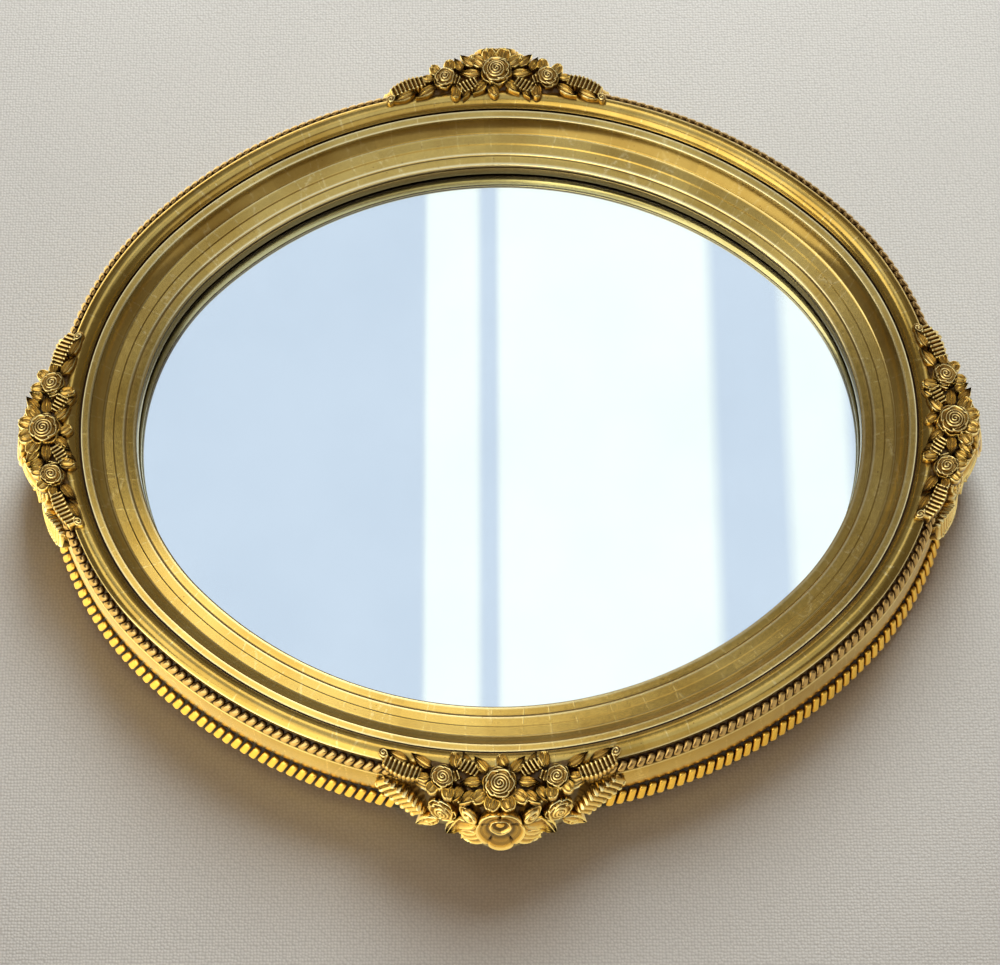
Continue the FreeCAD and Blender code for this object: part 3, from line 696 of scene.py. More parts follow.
class Shell:
    """A mesh in the making, in millimetres: x to the right, y up and h out from the wall."""

    def __init__(self) -> None:
        """Start an empty shell."""
        self.points: list[np.ndarray] = []
        self.lays: list[np.ndarray] = []
        self.faces: list[Sequence[int]] = []
        self.count = 0

    def loft(self, loops: np.ndarray, lay: Optional[np.ndarray] = None, wrap: bool = False) -> None:
        """Skin a row of closed loops, and close its ends unless it wraps round.

        Args:
            loops: points of each loop, as rows, places and x, y, h.
            lay: each point's place along and across the run, and its painted highlight or shade
                value.
            wrap: whether the last loop joins the first.
        """
        rows, ring, _ = loops.shape
        index = np.arange(rows * ring).reshape(rows, ring) + self.count
        upper = np.roll(index, -1, axis=0) if wrap else index[1:]
        lower = index if wrap else index[:-1]
        corners = [lower, np.roll(lower, -1, axis=1), np.roll(upper, -1, axis=1), upper]
        self.faces.extend(np.stack(corners, axis=-1).reshape(-1, 4).tolist())
        if not wrap:
            self.faces.append(index[0][::-1].tolist())
            self.faces.append(index[-1].tolist())
        self.points.append(loops.reshape(-1, 3))
        self.lays.append(np.zeros((rows * ring, 3)) if lay is None else lay.reshape(-1, 3))
        self.count += rows * ring

    def piece(
        self,
        name: str,
        finish: bpy.types.Material,
        slot: str,
        replaced: Sequence[str],
        crease: float = 38.0,
    ) -> None:
        """slot: the record's material slot; not used.
            replaced: the CAD nodes that it stands for.
            crease: edges sharper than this many degrees stay crisp.
        """
        points = np.concatenate(self.points)
        world = np.stack([points[:, 0], -points[:, 2], points[:, 1]], axis=1) * MM
        mesh = bpy.data.meshes.new(name)
        mesh.from_pydata(world.tolist(), [], self.faces)
        edit = bmesh.new()
        edit.from_mesh(mesh)
        bmesh.ops.recalc_face_normals(edit, faces=edit.faces)
        edit.to_mesh(mesh)
        edit.free()
        lay = mesh.attributes.new(LAY, "FLOAT_VECTOR", "POINT")
        lay.data.foreach_set("vector", np.concatenate(self.lays).astype(np.float32).ravel())
        mesh.polygons.foreach_set("use_smooth", [True] * len(mesh.polygons))
        mesh.set_sharp_from_angle(angle=math.radians(crease))
        mesh.materials.append(finish)
        item = bpy.data.objects.new(name, mesh)
        bpy.context.scene.collection.objects.link(item)
        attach(item, BODY)
        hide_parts(*replaced)
        LOG.info("%s: %d points", name, len(points))


def arc_between(start: np.ndarray, end: np.ndarray, rise: float, count: int) -> np.ndarray:
    """Points of an arc after its start and before its end.

    Args:
        start: the first end.
        end: the other end.
        rise: how far the arc bulges to the left of travel.
        count: how many points to give.

    Returns:
        The points, in order.
    """
    run = end - start
    half = np.hypot(*run) / 2
    left = np.array([-run[1], run[0]]) / (2 * half)
    radius = (half * half + rise * rise) / (2 * abs(rise))
    centre = (start + end) / 2 + left * (abs(rise) - radius) * np.sign(rise)
    first = math.atan2(*(start - centre)[::-1])
    sweep = (math.atan2(*(end - centre)[::-1]) - first + math.pi) % (2 * math.pi) - math.pi
    turns = first + sweep * np.arange(1, count + 1) / (count + 1)
    return centre + radius * np.stack([np.cos(turns), np.sin(turns)], axis=1)


def eased(points: np.ndarray, ease: float, turn_from: float = 28.0) -> np.ndarray:
    """Round the sharp corners of a closed outline.

    Args:
        points: the outline's corners.
        ease: how far from a corner the rounding starts, in millimetres.
        turn_from: corners that turn less than this many degrees stay.

    Returns:
        The outline with each sharp corner as a short curve.
    """
    out = []
    most = 0.4
    befores, afters = np.roll(points, 1, axis=0), np.roll(points, -1, axis=0)
    for before, here, after in zip(befores, points, afters):
        back, ahead = before - here, after - here
        near, far = np.hypot(*back), np.hypot(*ahead)
        turn = math.degrees(math.acos(np.clip(-(back @ ahead) / (near * far), -1, 1)))
        if turn < turn_from:
            out.append(here)
            continue
        start = here + back / near * min(ease, near * most)
        end = here + ahead / far * min(ease, far * most)
        for share in (0.0, 0.33, 0.67, 1.0):
            out.append(start * (1 - share) ** 2 + here * 2 * share * (1 - share) + end * share**2)
    return np.array(out)


def edged(edge: np.ndarray) -> np.ndarray:
    """Lay values that hold only a point's painted highlight (above 0) or painted shade (below 0).
    """
    edge = np.clip(edge, -1, 1)
    return np.stack([np.zeros_like(edge), np.zeros_like(edge), edge], axis=-1)


@dataclass
class Moulding:
    """The four gilt frame segments, swept from one section and glued up at the joints.

    Each corner of the section has its distance out, its level, the rise of the arc that follows and
    how much painted highlight (above 0) or painted shade in the glaze colour (below 0) the run that
    follows gets.
    """

    ease: float = 0.4
    step: float = 0.75
    spacing: float = 1.0
    least_arc: int = 8
    sharp_from: float = 0.45
    highlight_reach: float = 0.9
    corner_shade_reach: float = 0.5
    measured_out: float = 25.0
    crease: float = 16.0
    # Painted shade (below 0): the lip's inner face, the quirk, the step below the torus, the rope's
    # seat, the foot of the flank, the groove under the gadroons, and a little on the third tread.
    # The cove is a little darker. Painted highlight (above 0): the lip's nose and the line at the
    # foot of the cove. The ungilded back and the rabbet are darkest.
    corners: tuple[tuple[float, float, float, float], ...] = (
        (0.4, 36.5, 0, -0.9),
        (0.4, 39.8, 0.3, 0.2),
        (1.6, 41.2, 0, 0),
        (7.5, 42.7, 0, 0),
        (8.4, 43.5, 0, 0),
        (14.8, 45, 0, 0),
        (15.7, 45.6, 0, -0.15),
        (21.7, 47, 0, 0.5),
        (22.7, 47.5, -0.8, -0.32),
        (30.1, 57.4, 0, 0),
        (35.2, 58.6, 0, -1),
        (35.2, 57, 0, -1),
        (36.3, 57, 0, -0.8),
        (36.3, 59.4, 4.6, 0),
        (50, 63.6, 0, -0.4),
        (50, 62.1, 0, -0.85),
        (57.3, 52.6, 0.9, 0),
        (60.4, 22, 0, -0.3),
        (59.6, 20.8, 0, -1),
        (58.8, 20.8, 0, -1),
        (58.8, 18.3, 0, -1),
        (7, 18.3, 0, -1),
        (7, 36.5, 0, -1),
    )

    def section(self) -> tuple[np.ndarray, np.ndarray]:
        """The section as a closed outline, and each point's painted highlight or painted shade.

        Returns:
            The points, each a distance out and a level, and their painted highlight or shade
            values.
        """
        points: list[np.ndarray] = []
        shades: list[float] = []
        marks: list[tuple[np.ndarray, float]] = []
        for index, (out, level, rise, shade) in enumerate(self.corners):
            start = np.array([out, level], float)
            end = np.array(self.corners[(index + 1) % len(self.corners)][:2], float)
            before = np.array(self.corners[index - 1][:2], float)
            length = np.hypot(*(end - start))
            turn = np.cross(start - before, end - start)
            lean = abs(turn) / (np.hypot(*(start - before)) * length)
            # Outside corners get a painted highlight and inside corners painted shade, except
            # between two wholly dark runs
            bare = shade == self.corners[index - 1][3] == -1
            if lean > self.sharp_from and not bare:
                marks.append((start, 1.0 if turn < 0 else -1.0))
            inner = max(int(length / self.spacing), 2 if shade else 0)
            if rise:
                run = arc_between(start, end, rise, max(inner, self.least_arc))
            else:
                run = start + (end - start) * (np.arange(1, inner + 1) / (inner + 1))[:, None]
            points.extend([start, *run])
            shades.extend([0.0] + [shade] * len(run))
        known = np.array(points)
        outline = eased(known, self.ease)
        painted_light_and_wear = []
        for point in outline:
            value = shades[int(np.argmin(np.hypot(*(known - point).T)))]
            for corner, sign in marks:
                reach = self.highlight_reach if sign > 0 else self.corner_shade_reach
                value += sign * math.exp(-((np.hypot(*(point - corner)) / reach) ** 2))
            painted_light_and_wear.append(max(-1.0, min(1.0, value)))
        return outline, np.array(painted_light_and_wear)

    def build(self, finish: bpy.types.Material) -> None:
        """Sweep each segment.

        Args:
            finish: the gilding.
        """
        section, painted_light_and_wear = self.section()
        spread = np.concatenate([[0], np.cumsum(np.hypot(*np.diff(section, axis=0).T))])
        count = round(90 / self.step)
        for side in Side:
            loops, lays = [], []
            for k in range(count + 1):
                angle = side.value - 45 + 90 * k / count
                along = OVAL.along(side, angle, self.measured_out)
                loops.append([(*OVAL.spot(side, angle, out), level) for out, level in section])
                lays.append([(along, across, edge) for across, edge in zip(spread, painted_light_and_wear)])
            shell = Shell()
            shell.loft(np.array(loops), np.array(lays))
            name, node_name = f"moulding_{side.word}", f"frame_{side.word}"
            shell.piece(name, finish, "gilt_wood", [node_name], self.crease)


@dataclass
class MirrorPlate:
    """The sight slip, the glass with its eased edge and the silver on its back."""

    overlap: float = 6.0
    silver_back: float = 21.3
    glass_back: float = 21.5
    glass_front: float = 25.5
    edge_ease: float = 0.4
    coat_gap: float = 0.02
    crease: float = 20.0
    slip_ease: float = 0.3
    slip_bare_from: float = 2.0
    slip: Pairs = (
        (2.6, 25.5), (6.7, 25.5), (6.7, 36.3), (1.8, 36.3), (0.8, 35.3), (0.8, 27.6), (2.6, 26.8),
    )

    def build(self, slip_finish: bpy.types.Material) -> None:
        """Build the three pieces.

        Args:
            slip_finish: the slip's gilding.
        """
        section = eased(np.array(self.slip), self.slip_ease)
        loops = [
            [(*OVAL.spot(side, angle, out), level) for out, level in section]
            for side, angle in OVAL.angles(1.0)
        ]
        bare = np.where(section[:, 0] > self.slip_bare_from, -1.0, 0.0)
        slip = Shell()
        slip.loft(np.array(loops), edged(np.tile(bare, (len(loops), 1))), wrap=True)
        slip.piece("slip", slip_finish, "gilt_slip", ["sight_slip"])
        inner, ease = self.overlap - self.edge_ease, self.edge_ease
        rings = (
            (inner, self.glass_back),
            (self.overlap, self.glass_back + ease),
            (self.overlap, self.glass_front - ease),
            (inner, self.glass_front),
        )
        glass = Shell()
        glass.loft(np.stack([OVAL.ring(out, level) for out, level in rings]))
        glass.piece("glass_plate", GLASS.material(), "glass", ["mirror_glass"], self.crease)
        levels = (self.silver_back, self.glass_back - self.coat_gap)
        coat = Shell()
        coat.loft(np.stack([OVAL.ring(inner, level) for level in levels]))
        coat.piece("silvering", SILVER.material(), "silver", ["mirror_silver"], self.crease)


@dataclass
class OrnamentPlan:
    """Sizes of the ornaments, long at top and bottom and short at the sides, in millimetres."""

    front: float = 69.0
    back: float = 6.0
    inner: float = 38.0
    end_front: float = 46.0
    end_back: float = 69.0
    shoulder_half: float = 24.0
    shoulder_drop: float = 11.0
    long_half: float = 77.0
    long_reach: float = 78.0
    long_flare: float = 12.0
    short_half: float = 70.0
    short_reach: float = 75.0
    short_flare: float = 4.0
    short_drop: float = 12.0
    rose_out: float = 60.0

    def half(self, side: Side) -> float:
        """Half the length of one side's ornament."""
        return self.long_half if side.long else self.short_half

    def reach(self, side: Side) -> float:
        """How far out one side's ornament reaches at its front."""
        return self.long_reach if side.long else self.short_reach

    def flare(self, side: Side) -> float:
        """How much further out one side's ornament reaches at the wall."""
        return self.long_flare if side.long else self.short_flare

    def turn(self, side: Side) -> float:
        """Direction of an ornament's middle; the short pair hangs lower.

        Args:
            side: the ornament's side.

        Returns:
            The direction in degrees.
        """
        if side.long:
            return side.value
        tilt = math.degrees(math.asin(self.short_drop / (OVAL.radius(side) + self.rose_out)))
        return side.value - tilt if side is Side.RIGHT else side.value + tilt


PLAN = OrnamentPlan()
QUARTERS = (
    ("top_right", Side.TOP, Side.RIGHT, 45),
    ("top_left", Side.TOP, Side.LEFT, 135),
    ("bottom_left", Side.BOTTOM, Side.LEFT, 225),
    ("bottom_right", Side.BOTTOM, Side.RIGHT, 315),
)


@dataclass
class BeadRun:
    """One course of beads in its four runs, which end under the ornaments."""

    course: Course
    length: float
    radius: float
    height: float
    pitch: float
    slant: float
    seat: Pairs
    squareness: float
    fullness: float
    bow: float = 0.0
    under: float = 14.0
    rows: int = 13
    places: int = 11
    tip: float = 0.995
    sole: float = 0.8
    crease: float = 60.0

    def spots(
        self, long_side: Side, short_side: Side, joint: float
    ) -> Iterator[tuple[Side, float]]:
        """Evenly spaced directions along the oval from one ornament to the next.

        Args:
            long_side: the long side of the quarter.
            short_side: the short side of the quarter.
            joint: direction of the joint between them.

        Yields:
            The side and the direction of each bead.
        """
        out = (self.seat[0][0] + self.seat[1][0]) / 2
        legs = []
        for side in (long_side, short_side):
            radius = OVAL.radius(side) + out
            reach = (PLAN.turn(side) - joint + 180) % 360 - 180
            hidden = math.degrees(math.asin((PLAN.half(side) - self.under) / radius))
            span = abs(reach) - hidden
            legs.append((side, math.copysign(span, reach), math.radians(span) * radius))
        total = legs[0][2] + legs[1][2]
        count = round(total / self.pitch)
        for place in range(count):
            along = total * (place + 0.5) / count
            side, span, length = legs[0]
            share = 1 - along / length
            if along > length:
                side, span, reach = legs[1]
                share = (along - length) / reach
            yield side, joint + span * share

    def bead(self) -> np.ndarray:
        """One bead about its own middle.

        Returns:
            Loops of points, each a length, width, height and painted light value.
        """
        loops = []
        turns = np.linspace(0, math.pi, self.places)
        for share in np.sin(np.linspace(-math.pi / 2, math.pi / 2, self.rows)) * self.tip:
            full = (1 - abs(share) ** self.squareness) ** (1 / self.squareness)
            swell = np.abs(np.cos(turns)) ** self.fullness
            width = self.radius * full * np.sign(np.cos(turns)) * swell
            rise = self.height * full * np.sin(turns) ** self.fullness
            x = np.full_like(turns, share * self.length / 2)
            y = width + self.bow * math.sin(share * 2.2)
            # Painted highlight on the top of each bead, painted shade on its sides and foot
            edge = 1.35 * (np.sin(turns) * full) ** 0.9 - 0.6
            top = np.stack([x, y, rise, edge], axis=1)
            foot = top[[-1, 0]] * (1, 1, 0, 0) - (0, 0, self.sole, 1.0)
            loops.append(np.concatenate([top, foot]))
        return np.array(loops)

    def build(self, finish: bpy.types.Material) -> None:
        """Build the four runs.

        Args:
            finish: the gilding.
        """
        (inner, top), (outer, bottom) = self.seat
        slope = np.array([outer - inner, bottom - top]) / math.hypot(outer - inner, bottom - top)
        lean = math.radians(self.slant)
        bead = self.bead()
        for word, long_side, short_side, joint in QUARTERS:
            shell = Shell()
            for side, angle in self.spots(long_side, short_side, joint):
                turn = math.radians(angle)
                x, y = OVAL.spot(side, angle, (inner + outer) / 2)
                middle = np.array([x, y, (top + bottom) / 2])
                down = np.array([slope[0] * math.cos(turn), slope[0] * math.sin(turn), slope[1]])
                tangent = np.array([-math.sin(turn), math.cos(turn), 0])
                ahead = down * math.cos(lean) + tangent * math.sin(lean)
                normal = np.cross(down, tangent)
                normal = normal if normal[2] > 0 else -normal
                axes = np.stack([ahead, np.cross(normal, ahead), normal])
                shell.loft(middle + bead[..., :3] @ axes, edged(bead[..., 3]))
            name = f"{self.course.value}_{word}"
            shell.piece(f"{name}_beads", finish, "gilt_compo", [name], self.crease)


def bump(value: np.ndarray, middle: float, width: float) -> np.ndarray:
    """A smooth bump of one at its middle."""
    return np.exp(-(((value - middle) / width) ** 2))


def spiral_bud(share: np.ndarray, turn: np.ndarray, turns: float) -> np.ndarray:
    """How high a tightly rolled bud stands between the grooves of its spiral, from 0 to 1.

    Args:
        share: distance from the middle, one at the bud's edge.
        turn: direction in radians.
        turns: how many times the petal goes round.

    Returns:
        The share of the ridge's height.
    """
    coil = (share * turns - turn / (2 * math.pi)) % 1.0
    return np.sin(math.pi * coil) ** 0.7


def around(places: int) -> np.ndarray:
    """Directions once round, in radians."""
    return np.linspace(0, 2 * math.pi, places, endpoint=False)


def sunk(rim: np.ndarray, sink: float) -> np.ndarray:
    """A copy of some points, sunk below the surface and given full painted shade.

    Args:
        rim: the points, as x, y, height and painted light value.
        sink: how far below the surface they go.

    Returns:
        The sunk points.
    """
    low = rim.copy()
    low[:, 2] = -sink
    # Full painted shade on the foot
    low[:, 3] = -1.0
    return low


def with_foot(loops: list[np.ndarray], sink: float) -> np.ndarray:
    """Close a form made of rings from the middle out with a foot below its rim."""
    return np.array([*loops, sunk(loops[-1], sink)])


def with_sole(tops: list[np.ndarray], sink: float) -> np.ndarray:
    """Close a form made of rows across it with a sole below each row."""
    return np.array([np.concatenate([top, sunk(top[[-1, 0]], sink)]) for top in tops])


# Share of a rose's radius that its bud takes, and the turns of the bud's spiral
BUDS = {Form.ROSE: (0.6, 3.6), Form.SIDE_ROSE: (0.54, 2.4)}
# Group of pieces that each form belongs to
HOMES = {
    Form.ROSE: "rose",
    Form.SIDE_ROSE: "side_roses",
    Form.BLOOM: "bloom",
    Form.PETAL: "leaves",
    Form.LEAF: "leaves",
    Form.BUD: "leaves",
    Form.RIBBON: "ribbons",
    Form.CURL: "ribbons",
}


@dataclass(frozen=True)
class Motif:
    """One form on an ornament: its place, the way it points in degrees, and its sizes.

    Length is the radius of a round form and otherwise the form's own length. Count is its petals,
    edge waves or pleats, bend how far a leaf's tip lifts or a ribbon bows, and sink the depth of
    its foot. A single form stands on the middle line, the others on both sides of it.
    """

    form: Form
    along: float
    place: float
    turn: float
    length: float
    width: float = 0.0
    height: float = 3.0
    count: int = 5
    bend: float = 0.0
    single: bool = False
    sink: float = 5.0

    def loops(self) -> np.ndarray:
        """The form about its own place.

        Returns:
            Loops of points, each x, y, height and painted light value: painted highlight on rims,
            lips and ridges, painted shade in grooves, gaps and the foot.
        """
        if self.form in BUDS:
            return self.rose()
        makers = {Form.BLOOM: self.bloom, Form.RIBBON: self.ribbon, Form.CURL: self.curl}
        return makers.get(self.form, self.leaf)()

    def rose(self) -> np.ndarray:
        """A rose: a rolled bud inside two rows of lapped petals.

        Returns:
            Its rings, outwards.
        """
        rings, places, first = 54, 144, 0.35
        radius, height, petals = self.length, self.height, self.count
        bud, turns = BUDS[self.form]
        turn = around(places)
        spread = math.pi / petals * 1.3
        rows = ((0.82, 0.56, first + math.pi / petals), (1.0, 0.26, first))
        outline = np.zeros(places)
        reaches = []
        for size, base, start in rows:
            for petal in range(petals):
                offset = turn - start - 2 * math.pi * petal / petals
                offset = (offset + math.pi) % (2 * math.pi) - math.pi
                wave = 1 - 0.025 * np.cos(offset * 8 + petal)
                reach = size * wave * (1 - 0.17 * np.abs(offset / spread) ** 2.6)
                reach = np.where(np.abs(offset) < spread, reach, 0)
                reaches.append((reach, offset, base))
                outline = np.maximum(outline, reach)
        loops = []
        for ring in range(rings + 1):
            share = outline * max(ring / rings, 0.004)
            level = np.full(places, -0.2 * height)
            # Painted shade between the petals
            edge = np.full(places, -1.0)
            for reach, offset, base in reaches:
                inside = (share <= reach * 1.0001) & (reach > 0)
                part = np.clip(share / np.maximum(reach, 1e-6), 0, 1)
                lip = bump(part, 0.93, 0.08)
                cup = height * (base + 0.1 * part + 0.13 * lip + 0.09 * offset / spread)
                upper = inside & (cup > level)
                level = np.where(upper, cup, level)
                # Painted highlight on the petal lips
                edge = np.where(upper, 1.3 * lip - 0.75 + 0.35 * part, edge)
            part = np.clip(share / bud, 0, 1)
            ridge = spiral_bud(part, turn, turns)
            rolled = height * (0.66 + 0.34 * np.sqrt(1 - 0.92 * part**2) - 0.17 * (1 - ridge))
            level = np.where(share < bud, rolled, level)
            # Painted highlight on the bud's spiral ridge, painted shade in its groove
            edge = np.where(share < bud, 1.7 * ridge - 1.0, edge)
            rim = np.clip((1 - ring / rings) * 14, 0, 1) ** 0.5
            x, y = share * radius * np.cos(turn), share * radius * np.sin(turn)
            loops.append(np.stack([x, y, level * (0.35 + 0.65 * rim), edge], axis=1))
        return with_foot(loops, self.sink)

    def bloom(self) -> np.ndarray:
        """An open bloom, longer down the slope: a ringed heart in a cup of broad petals.

        Returns:
            Its rings, outwards.
        """
        rings, places, heart_up = 50, 144, 0.7
        radius, drop = self.length, self.width
        turn = around(places)
        lobe = np.abs(np.cos(turn * 2.5))
        loops = []
        for ring in range(rings + 1):
            part = max(ring / rings, 0.004)
            heart = math.exp(-((part / 0.2) ** 4))
            ringed, lip, fold = bump(part, 0.4, 0.07), bump(part, 0.9, 0.08), bump(part, 0.68, 0.12)
            seam = -0.3 * (1 - lobe) ** 6 * min(1.0, max(0.0, (part - 0.45) * 4))
            rim = min(1.0, (1 - part) / 0.08) ** 0.5
            cup = 0.28 + 0.5 * part**2 + 0.42 * heart + 0.3 * ringed + 0.22 * lip + seam
            level = self.height * cup * (0.25 + 0.75 * rim)
            # Painted highlight on the heart, its ring and the petal lips, painted shade in the
            # seams
            edge = 0.9 * heart + 1.5 * ringed + 1.5 * lip - 0.8 + 0.5 * fold + 2 * seam
            reach = part * radius * (0.93 + 0.07 * lobe)
            stretch = 1 + (drop / radius - 1) * part**2
            down = reach * np.cos(turn) * stretch - heart_up * radius * (1 - part)
            loops.append(np.stack([down, reach * np.sin(turn), level, edge], axis=1))
        return with_foot(loops, self.sink)

    def leaf(self) -> np.ndarray:
        """A pointed leaf or blunt petal, with a raised rim, a midrib and a groove in each half.

        Returns:
            Its loops, from the stalk to the tip.
        """
        rows, places = 30, 23
        blunt = self.form is not Form.LEAF
        tops = []
        across = np.linspace(-1, 1, places)
        off = np.abs(across)
        middle = bump(off, 0.0, 0.05 if blunt else 0.09)
        groove = bump(off, 0.48, 0.1)
        for share in 0.5 - 0.5 * np.cos(np.linspace(0.12, math.pi - 0.1, rows)):
            rim = bump(off, 0.86, 0.12)
            if blunt:
                half = self.width / 2 * (1 - abs(2 * share**0.8 - 1) ** 2.3) ** 0.5
                rim = np.maximum(rim, bump(np.full_like(off, share), 0.93, 0.07))
            else:
                wave = 1 + 0.03 * math.cos(2 * math.pi * self.count * share)
                half = self.width / 2 * math.sin(math.pi * share**0.75) * wave
            dome = (1 - off**2.4) * math.sin(math.pi * (0.1 + 0.82 * share)) ** 0.6
            level = 0.3 + 0.45 * dome + 0.36 * rim + 0.3 * middle - 0.16 * groove
            # Painted highlight on the rim and midrib, painted shade in the grooves
            edge = 1.2 * rim + 1.0 * middle - 0.6 * groove + 0.15
            lift = self.bend * share**2 * (0.4 + 0.6 * across**2)
            x = np.full_like(across, share * self.length)
            tops.append(np.stack([x, across * half, self.height * level + lift, edge], axis=1))
        return with_sole(tops, self.sink)

    def ribbon(self) -> np.ndarray:
        """A pleated ribbon, gathered at its start and open at its end.

        Returns:
            Its loops along the run.
        """
        rows_each, places, pleats = 10, 15, self.count
        tops = []
        across = np.linspace(-1, 1, places)
        hem = bump(np.abs(across), 0.88, 0.14)
        for share in np.linspace(0.0, 1.0, pleats * rows_each + 1):
            fan = 0.66 + 0.34 * math.sin(math.pi * min(share * 0.8 + 0.1, 1.0))
            half = self.width / 2 * fan * (1 + 0.08 * math.cos(2 * math.pi * pleats * share))
            pleat = np.abs(np.sin(math.pi * (pleats * share + 0.25 * across))) ** 0.8
            ends = min(1.0, share * 12 + 0.3, (1 - share) * 12 + 0.3)
            level = (0.22 + 0.62 * pleat + 0.2 * hem) * ends
            # Painted highlight on the pleats and the hem, painted shade between the pleats
            edge = 1.5 * pleat - 0.9 + 0.5 * hem
            x = np.full_like(across, share * self.length)
            y = across * half + self.bend * math.sin(math.pi * share)
            tops.append(np.stack([x, y, self.height * level, edge], axis=1))
        return with_sole(tops, self.sink)

    def curl(self) -> np.ndarray:
        """A scrolled end: a small domed disc with a spiral cut in it.

        Returns:
            Its rings, outwards.
        """
        rings, places, turns = 22, 64, 1.8
        turn = around(places)
        loops = []
        for ring in range(rings + 1):
            part = max(ring / rings, 0.01)
            ridge = spiral_bud(np.full(places, part), turn, turns)
            dome = 0.5 + 0.5 * math.sqrt(1 - 0.85 * part**2) - 0.3 * (1 - ridge)
            rim = min(1.0, (1 - part) / 0.1) ** 0.5
            level = self.height * dome * (0.3 + 0.7 * rim)
            x, y = part * self.length * np.cos(turn), part * self.length * np.sin(turn)
            # Painted highlight on the spiral's ridge, painted shade in its groove
            loops.append(np.stack([x, y, level, 1.7 * ridge - 0.9], axis=1))
        return with_foot(loops, self.sink)

    def turned(self, loops: np.ndarray) -> tuple[np.ndarray, np.ndarray]:
        """Turn the form the way it points.

        Args:
            loops: the form about its own place.

        Returns:
            How far each point lies ahead of the form's place, and to its side.
        """
        turn = math.radians(self.turn)
        x, y = loops[..., 0], loops[..., 1]
        ahead = x * math.cos(turn) - y * math.sin(turn)
        return ahead, x * math.sin(turn) + y * math.cos(turn)


# Front of an ornament: place along its length and out from the sight edge
FRONT_MOTIFS = (
    Motif(Form.ROSE, 0, 59.5, 0, 11.8, height=8.2, single=True),
    Motif(Form.SIDE_ROSE, 36.5, 56.5, 20, 8.6, height=6.6),
    Motif(Form.PETAL, 3.5, 67, 18, 10.5, 11.0, 5.4, 3, 0.6),
    Motif(Form.PETAL, 9, 64.5, 52, 11, 9.5, 4.6, 3, 0.6),
    Motif(Form.LEAF, 15, 64, 50, 14, 7.5, 4.2, 5, 0.8),
    Motif(Form.LEAF, 11, 57.5, 84, 15, 7.5, 4.0, 4, 0.6),
    Motif(Form.LEAF, 7, 52, 138, 14, 7.9, 4.6, 4, 0.8),
    Motif(Form.PETAL, 33, 62, 2, 8.5, 9.0, 4.2, 3, 0.5),
    Motif(Form.PETAL, 41, 60.5, 38, 8.5, 8.0, 3.8, 3, 0.5),
    Motif(Form.LEAF, 24, 61, 30, 12, 6.6, 3.8, 4, 0.5),
    Motif(Form.LEAF, 44, 57, 82, 11, 6.2, 3.6, 4, 0.5),
    Motif(Form.LEAF, 43, 51, 118, 16, 7.5, 4.2, 4, 0.6),
    Motif(Form.LEAF, 58, 48.5, 106, 16, 6.6, 3.8, 4, 0.5),
    Motif(Form.BUD, 27.5, 49.5, 172, 10.5, 8.4, 5.0, 3),
    Motif(Form.BUD, -4, 47.5, 150, 9, 7.5, 4.4, 3, single=True),
    Motif(Form.RIBBON, 50, 56, 102, 26, 9.5, 3.6, 9, -1.5, sink=11.0),
    Motif(Form.RIBBON, 13, 52, 112, 16, 8.6, 4.2, 6, 0.5),
    Motif(Form.LEAF, 19, 47, 150, 9.5, 5.3, 3.4, 3, 0.4),
    Motif(Form.RIBBON, 25.5, 53, 60, 10, 6.5, 3.2, 4, 0.0),
    Motif(Form.CURL, 75, 46.5, 0, 3.4, height=3.4, sink=11.0),
)

# Outer slope of an ornament: place along its length and down from its front
SLOPE_MOTIFS = (
    Motif(Form.BLOOM, 0, 26, 0, 15.0, 21.0, 6.0, single=True, sink=8.0),
    Motif(Form.SIDE_ROSE, 37, 30, 40, 9.6, height=6.0, sink=8.0),
    Motif(Form.PETAL, 11, 33, 34, 22, 12.0, 4.4, 3, 2.0, sink=7.0),
    Motif(Form.LEAF, 13, 22, 34, 37, 12.3, 5.2, 6, 3.0, sink=7.0),
    Motif(Form.LEAF, 24, 34, 26, 26, 10.6, 4.4, 5, 1.5, sink=7.0),
    Motif(Form.RIBBON, 22, 8, 60, 13, 8.0, 3.4, 4, 0.0, sink=7.0),
    Motif(Form.LEAF, 43, 14, 95, 13, 7.0, 3.8, 4, 0.6, sink=8.0),
    Motif(Form.LEAF, 40, 42, 40, 24, 9.7, 4.2, 5, 1.2, sink=8.0),
    Motif(Form.RIBBON, 52, 46, 128, 33, 12.5, 4.0, 8, 2.0, sink=9.0),
    Motif(Form.CURL, 19, 19, 0, 6.0, height=4.8, sink=8.0),
    Motif(Form.CURL, 47, 52, 0, 4.2, height=4.2, sink=8.0),
)


